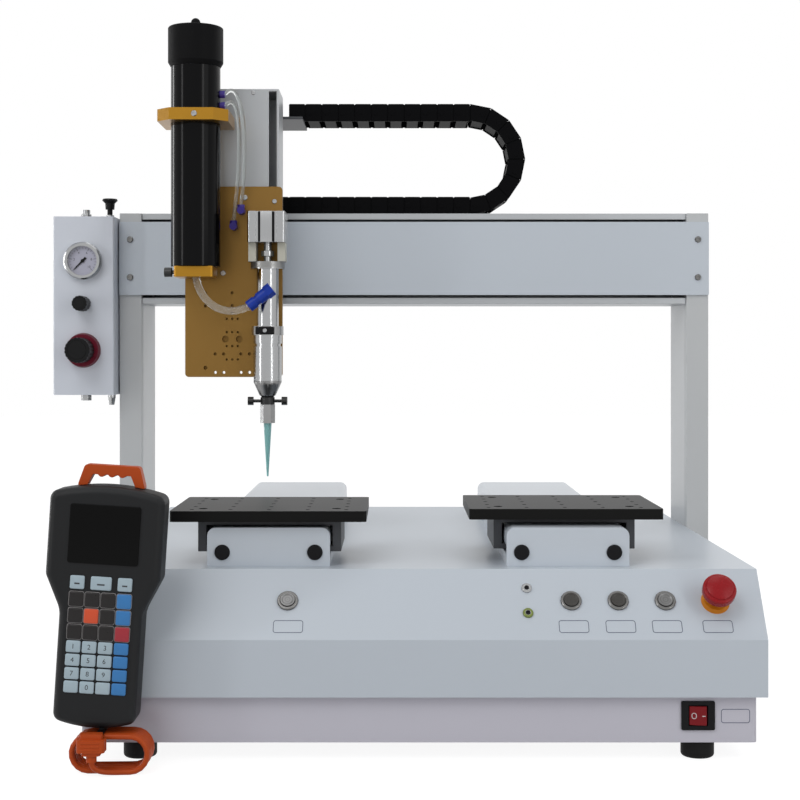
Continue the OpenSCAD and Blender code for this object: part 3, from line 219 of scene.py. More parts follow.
steel, gold, jetBlack = (0.36, 0.365, 0.37), (0.35, 0.175, 0.016), (0.004, 0.004, 0.0045)
smoothPaint = {"tint": 0.012, "cloud": 5, "fine": 300, "bump": 0.012, "roughSpread": 0.03, "specular": 0.4}
paint = {
    "white_paint": finish("whitePaint", (0.57, 0.62, 0.68), 0.3, coat=0.15, **smoothPaint),
    "plinth_paint": finish("plinthPaint", (0.56, 0.55, 0.62), 0.32, coat=0.12, **smoothPaint),
    "grey_paint": finish("greyPaint", (0.54, 0.555, 0.565), 0.36, coat=0.1, **smoothPaint),
    "beam_metal": finish("satinAluminium", (0.4, 0.415, 0.43), 0.38, metal=0.5, stretch=(0.02, 1, 1), fine=1500),
    "rubber_foot": finish("footRubber", (0.006, 0.006, 0.006), 0.62, fine=600, bump=0.25, specular=0.15),
    "bright_metal": finish("brightSteel", steel, 0.2, metal=1.0, stretch=(1, 1, 0.05), fine=1800),
    "rail_steel": finish("railSteel", (0.34, 0.35, 0.37), 0.3, metal=1.0, stretch=(0.03, 1, 1), fine=1500),
    "dark_bracket": finish("darkAnodise", (0.07, 0.073, 0.08), 0.44, metal=0.2, fine=1200, bump=0.1, specular=0.2),
    "button_metal": finish("buttonSteel", (0.055, 0.053, 0.05), 0.4, metal=0.7, fine=1500, specular=0.2),
    "stop_red": finish("stopRed", (0.29, 0.005, 0.009), 0.26, tint=0.03, fine=300, specular=0.2),
    "stop_collar": finish("stopCollar", (0.6, 0.2, 0.01), 0.36, tint=0.04, fine=300, specular=0.2),
    "switch_black": finish("switchBlack", (0.005, 0.005, 0.006), 0.42, fine=700, bump=0.2, specular=0.12),
    "switch_red": finish("switchRed", (0.2, 0.009, 0.013), 0.32, tint=0.05, fine=500, specular=0.15),
    "knob_black": finish("knobBlack", jetBlack, 0.4, fine=700, bump=0.2, specular=0.15),
    "collar_maroon": finish("collarMaroon", (0.13, 0.007, 0.02), 0.38, fine=400, specular=0.15),
    "chain_black": finish("chainNylon", (0.002, 0.002, 0.0025), 0.5, fine=700, bump=0.15, specular=0.04),
    "bronze_anodise": finish("bronzeAnodise", (0.235, 0.13, 0.032), 0.4, metal=0.6, stretch=(1, 1, 0.04), fine=1300,
                             specular=0.2),
    "gold_anodise": finish("goldAnodise", gold, 0.3, metal=0.85, stretch=(0.05, 1, 1), fine=1300),
    "barrel_black": finish("barrelBlack", (0.002, 0.002, 0.0025), 0.14, fine=900, bump=0.02, specular=0.09),
    "needle_teal": clearFinish("needleTeal", (0.3, 0.64, 0.63), 0.3, 0.3),
    "clear_tube": clearFinish("clearTube", (0.9, 0.93, 0.92), 0.08, 0.9, 1.2),
    "fitting_blue": finish("fittingBlue", (0.011, 0.042, 0.34), 0.3, tint=0.08, fine=400, specular=0.2),
    "table_black": finish("tableBlack", (0.004, 0.004, 0.0038), 0.42, fine=1600, bump=0.1, specular=0.1),
    "pendant_black": finish("pendantBlack", (0.009, 0.0095, 0.0105), 0.5, fine=1500, bump=0.3, cloud=30,
                            specular=0.2),
    "pendant_orange": finish("pendantOrange", (0.47, 0.068, 0.01), 0.44, tint=0.05, fine=700, bump=0.1, specular=0.2),
    "screen_black": finish("screenGlass", (0.002, 0.002, 0.002), 0.1, tint=0.2, bump=0.0, specular=0.08),
    "key_grey": finish("keyGrey", (0.4, 0.5, 0.56), 0.42, fine=500, bump=0.1, specular=0.3),
}
keyBlack = finish("keyBlack", (0.013, 0.011, 0.011), 0.3, fine=500, bump=0.1, specular=0.25)
keyBlue = finish("keyBlue", (0.03, 0.19, 0.48), 0.4, fine=500, bump=0.1)
keyRed = finish("keyRed", (0.66, 0.075, 0.018), 0.4, fine=500, bump=0.1)
keyCrimson = finish("keyCrimson", (0.35, 0.013, 0.027), 0.4, fine=500, bump=0.1)
markWhite = finish("markWhite", (0.7, 0.7, 0.7), 0.5, bump=0.02)
markDark = finish("markDark", (0.015, 0.016, 0.02), 0.5, bump=0.02)
dialPale = finish("dialPale", (0.4, 0.4, 0.49), 0.45, bump=0.02, coat=0.5)
jackGreen = finish("jackGreen", (0.17, 0.21, 0.05), 0.35, metal=0.4)
valveSteel = banded(finish("valveSteel", steel, 0.2, metal=1.0, stretch=(1, 1, 0.05), fine=1800), "Z", [
    (0.28, (0.3, 0.3, 0.3), 0.3, 1.0),  # hex adapter
    (0.3088, (0.02, 0.02, 0.02), 0.3, 0.5),  # nozzle nut and its thumb screws
    (0.3176, (0.22, 0.22, 0.22), 0.3, 1.0),
    (0.334, steel, 0.2, 1.0),  # body and tube
    (0.3829, (0.3, 0.3, 0.3), 0.24, 1.0),  # clamp ring
    (0.3926, steel, 0.16, 1.0),
    (0.454, (0.24, 0.24, 0.235), 0.34, 0.9),  # yoke flange
    (0.4612, (0.5, 0.49, 0.42), 0.42, 0.0)])  # yoke cheeks of pale plastic
footGold = banded(finish("footGold", gold, 0.28, stretch=(0.05, 1, 1), fine=1300), "X", [
    (homeX - 0.3, jetBlack, 0.38, 0.0),  # thumb screw
    (homeX - 0.2531, gold, 0.3, 0.85)])
fittingBlues = banded(finish("fittingBlues", (0.011, 0.042, 0.34), 0.3, fine=400, specular=0.2), "Z", [
    (0.38, (0.011, 0.042, 0.34), 0.3, 0.0),  # elbow
    (0.48, (0.055, 0.035, 0.27), 0.3, 0.0)])  # small fittings higher up
shellPaint = finish("shellPaint", (0.54, 0.59, 0.65), 0.34, **smoothPaint)
boxPaint = finish("boxPaint", (0.65, 0.685, 0.755), 0.36, coat=0.1, **smoothPaint)
# the bezels' chrome is darkened: painted reflection of a dark room, kept in the colour
bezelChrome = finish("bezelChrome", (0.17, 0.168, 0.165), 0.16, metal=1.0, bump=0.01)
capBlack = finish("capBlack", jetBlack, 0.55, fine=700, bump=0.2, specular=0.06)
ownLook = {"valve_body": valveSteel, "barrel_foot": footGold, "head_fittings": fittingBlues, "base_shell": shellPaint,
           "gauge_box": boxPaint, "button_bezels": bezelChrome, "barrel_cap": capBlack}
print("finishes made")


def settle(obj, body, mat, stands=()):  # a finished piece rides on its body
    obj.data.materials.clear()
    obj.data.materials.append(mat)
    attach(obj, body)
    if stands:
        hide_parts(*stands)
    return obj


def smooth(obj, angle=35):
    pick(obj)
    bpy.ops.object.shade_smooth_by_angle(angle=math.radians(angle))


def dress(node, edge, segments=2, mat=None, ride=True):  # a merged copy with eased edges
    source = frame["nodes"][node]
    obj = source.copy()
    obj.data = source.data.copy()
    obj.parent = None
    for key in list(obj.keys()):
        del obj[key]
    obj.name = node + "_look"
    bpy.context.scene.collection.objects.link(obj)
    pick(obj)
    bpy.ops.object.mode_set(mode="EDIT")
    bpy.ops.mesh.select_all(action="SELECT")
    bpy.ops.mesh.remove_doubles(threshold=0.000002)
    bpy.ops.mesh.dissolve_limited(angle_limit=math.radians(0.4))
    bpy.ops.object.mode_set(mode="OBJECT")
    if edge:
        soft = obj.modifiers.new("easedEdges", "BEVEL")
        soft.width = edge * millimetre
        soft.segments = segments
        soft.limit_method = "ANGLE"
        soft.angle_limit = math.radians(30)
        soft.use_clamp_overlap = True
        bpy.ops.object.modifier_apply(modifier=soft.name)
    smooth(obj)
    even = obj.modifiers.new("evenNormals", "WEIGHTED_NORMAL")  # flat faces stay flat between eased edges
    even.keep_sharp = True
    bpy.ops.object.modifier_apply(modifier=even.name)
    if ride:
        settle(obj, bodyOf[node], mat or paint[slotOf[node]], [node])
    return obj


edges = {"base_shell": 1.2, "base_pan": 1.0, "feet": 0, "beam_cover": 0.5, "left_post": 0.6, "right_post": 0.6,
         "beam": 0.4, "guide_covers": 0.5, "gauge_box": 0.8, "cover_plugs": 0.6, "rear_ports": 0.4,
         "lift_housing": 0.8, "cross_slide": 0.3, "chain_bracket": 0.4, "lift_block": 0.3, "head_plate": 0.5,
         "barrel": 0.3, "barrel_cap": 0.5, "barrel_clamp": 0.6, "barrel_foot": 0.5, "valve_cylinder": 0.4,
         "valve_body": 0.25, "valve_rod": 0.3, "needle": 0, "left_table": 0.5, "right_table": 0.5,
         "left_bracket": 0.5, "right_bracket": 0.5, "button_bezels": 0.25, "panel_jacks": 0.2,
         "lone_start_button": 0.3, "manual_button": 0.3, "reset_button": 0.3, "start_button": 0.3,
         "estop_collar": 0, "estop_plunger": 0.3, "estop_button": 0.5, "rocker_bezel": 0.5,
         "rocker_switch": 0.4, "gauge": 0, "gauge_needle": 0, "suckback_knob": 0.3, "regulator_collar": 0.4,
         "regulator_knob": 0.4, "air_valve_knob": 0.4, "air_fittings": 0.3, "chain_bend": 0.3,
         "head_fittings": 0.4, "pendant_body": 0, "pendant_handle": 2.0, "pendant_screen": 0.4,
         "pendant_plug": 1.0, "guide_rails": 0, "lift_screw": 0}
for node, width in edges.items():
    dress(node, width, 3 if width >= 1 else 2, ownLook.get(node))
print("solids dressed,", len(edges))


# shaping helpers: each makes a piece by hand operations, then sets its place into the mesh
def place(obj, matrix):
    obj.matrix_world = matrix
    pick(obj)
    bpy.ops.object.transform_apply(location=True, rotation=True, scale=True)
    return obj


def block(name, size, matrix, edge=0.0, segments=2):  # block centred on its own place, millimetres
    deselect()
    bpy.ops.mesh.primitive_cube_add(size=millimetre, location=(0, 0, 0))
    obj = bpy.context.object
    obj.name = name
    bpy.ops.object.mode_set(mode="EDIT")
    bpy.ops.mesh.select_all(action="SELECT")
    bpy.ops.transform.resize(value=size, center_override=(0, 0, 0))
    if edge:
        bpy.ops.mesh.bevel(offset=edge * millimetre, segments=segments, affect="EDGES")
    bpy.ops.object.mode_set(mode="OBJECT")
    return place(obj, matrix)


def turned(name, steps, matrix, sides=40):  # lathe work: (radius, height) pairs in millimetres, from the foot up
    deselect()
    radius, height = steps[0]
    bpy.ops.mesh.primitive_circle_add(vertices=sides, radius=radius * millimetre, fill_type="NGON",
                                      location=(0, 0, 0))
    obj = bpy.context.object
    obj.name = name
    bpy.ops.object.mode_set(mode="EDIT")
    bpy.ops.mesh.select_all(action="SELECT")
    bpy.ops.transform.translate(value=(0, 0, height * millimetre))
    for nextRadius, nextHeight in steps[1:]:
        rise = (nextHeight - height) * millimetre
        bpy.ops.mesh.extrude_region_move(TRANSFORM_OT_translate={"value": (0, 0, rise)})
        ratio = nextRadius / radius
        bpy.ops.transform.resize(value=(ratio, ratio, 1), center_override=(0, 0, nextHeight * millimetre))
        radius, height = nextRadius, nextHeight
    bpy.ops.mesh.select_all(action="SELECT")
    bpy.ops.mesh.normals_make_consistent(inside=False)
    bpy.ops.object.mode_set(mode="OBJECT")
    place(obj, matrix)
    smooth(obj)
    return obj


def border(name, size, radius, line, thick, matrix):  # rounded rectangle drawn as a raised line
    deselect()
    bpy.ops.mesh.primitive_plane_add(size=millimetre, location=(0, 0, 0))
    obj = bpy.context.object
    obj.name = name
    bpy.ops.object.mode_set(mode="EDIT")
    bpy.ops.mesh.select_all(action="SELECT")
    bpy.ops.transform.resize(value=(size[0], size[1], 1), center_override=(0, 0, 0))
    bpy.ops.mesh.bevel(offset=radius * millimetre, segments=5, affect="VERTICES")
    bpy.ops.mesh.inset(thickness=line * millimetre)
    bpy.ops.mesh.delete(type="FACE")
    bpy.ops.mesh.select_all(action="SELECT")
    bpy.ops.mesh.extrude_region_move(TRANSFORM_OT_translate={"value": (0, 0, thick * millimetre)})
    bpy.ops.mesh.select_all(action="SELECT")
    bpy.ops.mesh.normals_make_consistent(inside=False)
    bpy.ops.object.mode_set(mode="OBJECT")
    return place(obj, matrix)


def pad(name, size, radius, thick, matrix):  # a moulded key with round corners and an eased top
    deselect()
    bpy.ops.mesh.primitive_plane_add(size=millimetre, location=(0, 0, 0))
    obj = bpy.context.object
    obj.name = name
    bpy.ops.object.mode_set(mode="EDIT")
    bpy.ops.mesh.select_all(action="SELECT")
    bpy.ops.transform.resize(value=(size[0], size[1], 1), center_override=(0, 0, 0))
    bpy.ops.mesh.bevel(offset=radius * millimetre, segments=4, affect="VERTICES")
    for rise, inward in ((0.6, 0), (0.25, 0.3), (0.15, 0.7)):
        bpy.ops.mesh.extrude_region_move(TRANSFORM_OT_translate={"value": (0, 0, rise * thick * millimetre)})
        bpy.ops.transform.resize(value=(1 - 2 * inward / size[0], 1 - 2 * inward / size[1], 1),
                                 center_override=(0, 0, 0))
    bpy.ops.mesh.select_all(action="SELECT")
    bpy.ops.mesh.normals_make_consistent(inside=False)
    bpy.ops.object.mode_set(mode="OBJECT")
    return place(obj, matrix)


def figure(name, body, height, matrix, thick=0.1):  # a plain number, made a mesh
    deselect()
    bpy.ops.object.text_add(location=(0, 0, 0))
    obj = bpy.context.object
    obj.name = name
    obj.data.body = body
    obj.data.size = height * millimetre
    obj.data.extrude = thick * millimetre
    obj.data.align_x = "CENTER"
    obj.data.align_y = "CENTER"
    bpy.ops.object.convert(target="MESH")
    return place(bpy.context.object, matrix)


def joined(name, pieces):
    deselect()
    for piece in pieces:
        piece.select_set(True)
    bpy.context.view_layer.objects.active = pieces[0]
    if len(pieces) > 1:
        bpy.ops.object.join()
    pieces[0].name = name
    return pieces[0]


def tubeAlong(name, a, b, c, d, dia):  # a held tube on one smooth curve with four control points
    deselect()
    bpy.ops.curve.primitive_bezier_curve_add(location=(0, 0, 0))
    obj = bpy.context.object
    obj.name = name
    start, end = obj.data.splines[0].bezier_points
    for point in (start, end):
        point.handle_left_type = point.handle_right_type = "FREE"
    start.co, start.handle_right, start.handle_left = a, b, Vector(a) * 2 - Vector(b)
    end.co, end.handle_left, end.handle_right = d, c, Vector(d) * 2 - Vector(c)
    obj.data.resolution_u = 28
    obj.data.bevel_depth = dia / 2 * millimetre
    obj.data.bevel_resolution = 5
    obj.data.use_fill_caps = True
    bpy.ops.object.convert(target="MESH")
    obj = bpy.context.object
    smooth(obj, 60)
    return obj


def move(x, y, z):
    return Matrix.Translation(at(x, y, z))


def offset(x, y, z):
    return Matrix.Translation(Vector((x, y, z)) * millimetre)


def frontOf(node):
    return (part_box(node)[0][1] - homeY) / millimetre


quarter = math.pi / 2
toFront = Matrix.Rotation(quarter, 4, "X")  # a piece drawn upright faces the front

# pendant cable: straight down from the grip, a tied hank of over five turns, then the plug
cable = {"dia": 5, "fold": 15, "straight": 36, "fullTurns": 5, "hankX": -268.5, "backY": -310.8,
         "frontY": -337.8, "exit": (-276.5, -310.8, 43), "plugEnd": (-281.5, -348.1, 14), "bend": 10.5,
         "step": 5}


def bezierRoute(a, b, c, d, count):
    a, b, c, d = (Vector(p) for p in (a, b, c, d))
    spans = [i / count for i in range(count + 1)]
    return [a * (1 - t) ** 3 + b * 3 * t * (1 - t) ** 2 + c * 3 * t * t * (1 - t) + d * t ** 3 for t in spans]


def hankRoute():
    straight, fold = cable["straight"], cable["fold"]
    halfLoop = straight + math.pi * fold
    first = straight / 2 + cable["exit"][0] + cable["bend"] - cable["hankX"]
    last = halfLoop + cable["fullTurns"] * 2 * halfLoop
    count = round((last - first) / cable["step"])
    for i in range(1, count):
        along = first + (last - first) * i / count
        side = 1 if along % (2 * halfLoop) < halfLoop else -1
        u = along % halfLoop
        bow = max(0.0, u - straight) / fold
        x = min(u, straight) - straight / 2 + fold * math.sin(bow)
        y = cable["backY"] + (cable["frontY"] - cable["backY"]) * i / count
        yield Vector((cable["hankX"] + side * x, y, fold + cable["dia"] / 2 + side * fold * math.cos(bow)))


bend = cable["bend"]
leave = Vector(cable["exit"])
land = leave + Vector((bend, 0, -bend))
lowest = Vector((cable["hankX"] + cable["straight"] / 2, cable["frontY"], cable["dia"] / 2))
plugEnd = Vector(cable["plugEnd"])
route = bezierRoute(leave, leave - Vector((0, 0, 0.55 * bend)), land - Vector((0.55 * bend, 0, 0)), land, 8)
route += list(hankRoute())
route += bezierRoute(lowest, lowest - Vector((16, 0, 0)), plugEnd - Vector((0, 0, 11)), plugEnd, 12)
cableLine = bpy.data.curves.new("pendantCable", "CURVE")
cableLine.dimensions = "3D"
spline = cableLine.splines.new("POLY")
spline.points.add(len(route) - 1)
for point, spot in zip(spline.points, route):
    point.co = (*at(*spot), 1)
cableLine.bevel_depth = cable["dia"] / 2 * millimetre
cableLine.bevel_resolution = 3
cableLine.use_fill_caps = True
pendantCable = bpy.data.objects.new("pendantCable", cableLine)
bpy.context.scene.collection.objects.link(pendantCable)
settle(pendantCable, "base", paint["pendant_orange"], ["pendant_cable", "pendant_hank"])

tieX = cable["hankX"] - 8
tie = block("hankTie", (7, cable["backY"] - cable["frontY"] + cable["dia"] + 0.8, cable["dia"] + 0.8),
            move(tieX, (cable["backY"] + cable["frontY"]) / 2, 2 * cable["fold"] + cable["dia"] / 2))
bpy.ops.object.mode_set(mode="EDIT")
bpy.ops.mesh.select_mode(type="FACE")
bpy.ops.mesh.select_all(action="DESELECT")
bpy.ops.object.mode_set(mode="OBJECT")
for face in tie.data.polygons:
    face.select = abs(face.normal.x) > 0.9
bpy.ops.object.mode_set(mode="EDIT")
bpy.ops.mesh.delete(type="FACE")
bpy.ops.object.mode_set(mode="OBJECT")
band = tie.modifiers.new("band", "SOLIDIFY")
band.thickness = 0.9 * millimetre
band.offset = 1
bpy.ops.object.modifier_apply(modifier=band.name)
settle(tie, "base", paint["knob_black"])

# cable chain: plates behind the link gaps line both runs and the bend; the upper run rides on its body
upperLow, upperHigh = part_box("chain_upper")
lowerLow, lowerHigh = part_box("chain_lower")
bendLow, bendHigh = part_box("chain_bend")
liner = {"wall": 1.2, "inset": 3.8, "trim": 1.8, "runTrim": 0.5, "steps": 28}  # plates behind the link gaps
linkHigh = (upperHigh[2] - upperLow[2]) / millimetre
linerHigh = linkHigh - 2 * liner["trim"]


def linerSides(low, high):
    return (low[1] + liner["inset"] * millimetre, high[1] - liner["inset"] * millimetre)


def linedRun(node, low, high):
    run = dress(node, 0.3, ride=False)
    size = ((high[0] - low[0]) / millimetre - 2, liner["wall"], linkHigh - 2 * liner["runTrim"])
    plates = [block("liner", size,
                    Matrix.Translation(((low[0] + high[0]) / 2, side, (low[2] + high[2]) / 2)))
              for side in linerSides(low, high)]
    joined(run.name, [run] + plates)
    run.data.materials.clear()
    run.data.materials.append(paint["chain_black"])
    return run


upperRun = linedRun("chain_upper", upperLow, upperHigh)
settle(upperRun, bodyOf["chain_upper"], paint["chain_black"], ["chain_upper"])
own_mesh(upperRun)
lowerRun = linedRun("chain_lower", lowerLow, lowerHigh)
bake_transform(lowerRun)
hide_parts("chain_lower")

turn = Vector((upperHigh[0], 0, (upperLow[2] + lowerHigh[2]) / 2))  # the bend's own axis
turnRadius = (upperHigh[2] - lowerLow[2]) / 2 - linkHigh * millimetre / 2
bendPlates = []
for side in linerSides(bendLow, bendHigh):
    deselect()
    bpy.ops.mesh.primitive_plane_add(size=millimetre, location=(0, 0, 0))
    plate = bpy.context.object
    bpy.ops.object.mode_set(mode="EDIT")
    bpy.ops.mesh.select_all(action="SELECT")
    bpy.ops.transform.resize(value=(linerHigh, liner["wall"], 1), center_override=(0, 0, 0))
    bpy.ops.object.mode_set(mode="OBJECT")
    place(plate, Matrix.Translation((turn.x, side, turn.z - turnRadius)) @ Matrix.Rotation(quarter, 4, "Y"))
    bpy.ops.object.mode_set(mode="EDIT")
    bpy.ops.mesh.select_all(action="SELECT")
    bpy.ops.mesh.spin(steps=liner["steps"], angle=math.pi, center=turn, axis=(0, 1, 0))
    bpy.ops.mesh.select_all(action="SELECT")
    bpy.ops.mesh.remove_doubles(threshold=0.000002)
    bpy.ops.mesh.fill_holes(sides=0)
    bpy.ops.mesh.select_all(action="SELECT")
    bpy.ops.mesh.normals_make_consistent(inside=False)
    bpy.ops.object.mode_set(mode="OBJECT")
    bendPlates.append(plate)
bendLiner = joined("bendLiner", bendPlates)
smooth(bendLiner)
settle(bendLiner, "chain_loop", paint["chain_black"])
print("chain dressed")

# tubes of the head, on the solids' own curves
head = {"barrelX": -232, "barrelY": -48.3, "plateY": -10, "headX": -196, "valveX": -157.6, "valveY": -30,
        "barrelZ": 455, "elbow": (-157.6, -50.75, 427), "elbowAngle": math.radians(38)}
elbowWay = Vector((math.cos(head["elbowAngle"]), 0, math.sin(head["elbowAngle"])))
feedStart = Vector((head["barrelX"], head["barrelY"], head["barrelZ"] - 6.5))
feedEnd = Vector(head["elbow"]) - 16 * elbowWay
headTubes = [tubeAlong("feedTube", at(*feedStart), at(*(feedStart + Vector((2, 0, -34)))),
                       at(*(feedEnd - 34 * elbowWay)), at(*feedEnd), 8)]
for k in (0, 1):
    topEnd = Vector((head["barrelX"] + 31, head["barrelY"], head["barrelZ"] + 182 - 12 * k))
    lowEnd = Vector((head["headX"] + 9 - 8 * k, head["plateY"] - 12, 523 - 17 * k))
    headTubes.append(tubeAlong("airTube", at(*topEnd), at(*(topEnd + Vector((18, 0, 22)))),
                               at(*(lowEnd + Vector((10, -8, 70)))), at(*lowEnd), 4))
settle(joined("headTubes", headTubes), "head", paint["clear_tube"], ["feed_tube"])
print("tubes made")

# pendant keypad: one key shape, copied in the colour groups of the photograph
pendant = {"place": (-282.5, -300.3, 45), "lean": math.radians(3.6), "thick": 38, "keyThick": 1.6, "keyWide": 12.4,
           "pitch": 13.8, "softRow": 120.5, "softKeys": ((-20.6, 12.4), (0, 18), (20.6, 12.4)), "softHigh": 11.6,
           "darkTop": 106, "darkPitch": 14.2, "darkHigh": 12.4, "paleTop": 65, "palePitch": 11.6, "paleHigh": 10.2,
           "corner": 1.5, "barShare": 0.36, "outline": (13.4, 13.4), "numberHigh": 6}
pendantFrame = move(*pendant["place"]) @ Matrix.Rotation(pendant["lean"], 4, "Y") @ toFront
keyGroups = {"paleKeys": [], "blackKeys": [], "blueKeys": [], "redKeys": [], "crimsonKeys": []}
groupOf = {"p": "paleKeys", "k": "blackKeys", "b": "blueKeys", "r": "redKeys", "c": "crimsonKeys"}
keyTop = pendant["thick"] + pendant["keyThick"]


def onPendant(u, v, w):
    return pendantFrame @ offset(u, v, w)


def key(u, v, size, group):
    spot = onPendant(u, v, pendant["thick"])
    keyGroups[group].append(pad("key", size, pendant["corner"], pendant["keyThick"], spot))


def column(c):
    return (c - 1.5) * pendant["pitch"]


keyLines, legends = [], []
for u, width in pendant["softKeys"]:
    key(u, pendant["softRow"], (width, pendant["softHigh"]), "paleKeys")
    legends.append(block("legend", (pendant["barShare"] * width, 1.3, 0.16),
                         onPendant(u, pendant["softRow"] - 1, keyTop)))
for row, colours in enumerate(["kkkb", "krkb", "kkkc"]):
    v = pendant["darkTop"] - row * pendant["darkPitch"]
    for c, colour in enumerate(colours):
        key(column(c), v, (pendant["keyWide"], pendant["darkHigh"]), groupOf[colour])
        keyLines.append(border("keyLine", pendant["outline"], 1.9, 0.4, 0.12,
                               onPendant(column(c), v, pendant["thick"])))
for row in range(4):
    v = pendant["paleTop"] - row * pendant["palePitch"]
    for c, colour in enumerate("pppb"):
        key(column(c), v, (pendant["keyWide"], pendant["paleHigh"]), groupOf[colour])
        if row < 3 and c < 3 or (row, c) == (3, 1):
            number = str(row * 3 + c + 1 if row < 3 else 0)
            legends.append(figure("legend", number, pendant["numberHigh"], onPendant(column(c), v, keyTop), 0.08))
keyLooks = {"paleKeys": paint["key_grey"], "blackKeys": keyBlack, "blueKeys": keyBlue, "redKeys": keyRed,
            "crimsonKeys": keyCrimson}
for group, pieces in keyGroups.items():
    keys = joined(group, pieces)
    smooth(keys, 40)
    settle(keys, "base", keyLooks[group], ["pendant_keys"])
settle(joined("keyLines", keyLines), "base", finish("keyLine", (0.36, 0.34, 0.34), 0.5, bump=0.02))
settle(joined("keyNumbers", legends), "base", markDark)
print("keypad made")

# sloped control panel: bare label frames, jack rings with painted shade at their hole floors, turned button faces
slope = {"front": -300, "run": 44, "rise": 57, "top": 166}
slopeTurn = Matrix.Rotation(math.atan2(slope["rise"], slope["run"]), 4, "X")


def onSlope(x, t, lift=0.0):
    return move(x, slope["front"] + slope["run"] * (1 - t), slope["top"] - slope["rise"] * t) @ slopeTurn @ offset(
        0, 0, lift)


label = {"spots": (-117.2, 138.3, 180.2, 221.7, 267), "size": (26.8, 12.4), "slopeShare": 0.815,
         "plinthSize": (25.8, 12.6), "plinthSpot": (282.6, 39.7), "line": (2.4, 0.55, 0.15)}
labels = [border("label", label["size"], *label["line"], onSlope(x, label["slopeShare"])) for x in label["spots"]]
plinthFront = frontOf("rocker_bezel") + 2  # the switch's rim stands 2 mm proud
labelX, labelZ = label["plinthSpot"]
labels.append(border("label", label["plinthSize"], *label["line"], move(labelX, plinthFront, labelZ) @ toFront))
settle(joined("labelFrames", labels), "base", finish("labelLine", (0.07, 0.085, 0.14), 0.5, bump=0.02))
jack = {"x": 98, "slopeShares": (0.28, 0.63), "ring": [(4.7, 0), (4.7, 1.3), (4.2, 1.8), (2.6, 1.8), (2.6, 0.4)],
        "holeShade": [(2.2, 0), (2.2, 0.7)]}
jackRings = [turned("jackRing", jack["ring"], onSlope(jack["x"], t)) for t in jack["slopeShares"]]
settle(jackRings[0], "base", paint["bright_metal"])
settle(jackRings[1], "base", jackGreen)
# a black disc at each jack hole's floor: painted shade of the deep socket hole
jackHoleShades = [turned("jackHoleShade", jack["holeShade"], onSlope(jack["x"], t)) for t in jack["slopeShares"]]
settle(joined("jackHoleShades", jackHoleShades), "base", paint["switch_black"])
slopeAxis = Matrix(slopeTurn.to_3x3()).inverted().to_euler()
capShare = 0.46  # the caps' place down the slope
for cap, x in (("lone_start_button", -118.5), ("start_button", 222.5)):
    look = bpy.data.objects[cap + "_look"]
    look.data.materials.clear()
    look.data.materials.append(turnedFinish(cap + "Turned", (0.18, 0.18, 0.18), 0.3,
                                            onSlope(x, capShare).translation, slopeAxis))
print("panel made")

# power rocker marks: a ring and a bar, on the rocker's own tilted faces
rocker = {"x": 249, "z": 40.36, "ring": (4.4, 5.4), "ringSide": -3.8, "bar": (2.8, 0.7), "barSide": 4.6}
rockerLook = bpy.data.objects["rocker_switch_look"]
bpy.context.view_layer.update()


def onFront(obj, x, z):  # the place where a line from the front first meets a piece
    _, spot, normal, _ = obj.ray_cast(at(x, -600, z), Vector((0, 1, 0)))
    return Matrix.Translation(spot) @ normal.to_track_quat("Z", "Y").to_matrix().to_4x4()


rockerMarks = [border("mark", rocker["ring"], 2.1, 0.55, 0.12,
                      onFront(rockerLook, rocker["x"] + rocker["ringSide"], rocker["z"])),
               block("mark", (*rocker["bar"], 0.24),
                     onFront(rockerLook, rocker["x"] + rocker["barSide"], rocker["z"]))]
settle(joined("rockerMarks", rockerMarks), "power_rocker", markWhite)

# gauge: printed dial with plain numbers
gauge = {"x": -370.5, "y": 48, "z": 467, "dial": 16.3, "floor": 4, "scaleStart": 225, "scaleSpan": 270, "steps": 20,
         "perNumber": 4, "numberRing": 9.8, "numberHigh": 3.8}
markLevel = gauge["floor"] + 0.3
gaugeFrame = move(gauge["x"], gauge["y"], gauge["z"]) @ toFront
settle(turned("dialFace", [(gauge["dial"], gauge["floor"]), (gauge["dial"], gauge["floor"] + 0.25)], gaugeFrame),
       "base", dialPale)
ticks = []
for i in range(gauge["steps"] + 1):
    angle = math.radians(gauge["scaleStart"] - gauge["scaleSpan"] * i / gauge["steps"])
    main = i % gauge["perNumber"] == 0
    long, wide = (3.2, 0.42) if main else (1.9, 0.28)
    spot = Matrix.Rotation(angle, 4, "Z") @ offset(gauge["dial"] - 1 - long / 2, 0, markLevel)
    ticks.append(block("tick", (long, wide, 0.12), gaugeFrame @ spot))
    if main:
        spot = offset(gauge["numberRing"] * math.cos(angle), gauge["numberRing"] * math.sin(angle), markLevel)
        ticks.append(figure("dialNumber", str(i // 2), gauge["numberHigh"], gaugeFrame @ spot, 0.05))
settle(joined("dialMarks", ticks), "base", markDark)
print("gauge made")


# fasteners, and a black pad of painted shade on the clamp ring
def screw(x, y, z, radius, turn):
    steps = [(radius, 0), (radius, radius * 0.35), (radius * 0.82, radius * 0.55), (radius * 0.45, radius * 0.55),
             (radius * 0.42, radius * 0.2)]
    return turned("screw", steps, move(x, y, z) @ turn, 24)


def screws(name, spots, body, mat):  # spots: (x, y, z, radius), all facing the front
    settle(joined(name, [screw(*spot, toFront) for spot in spots]), body, mat)


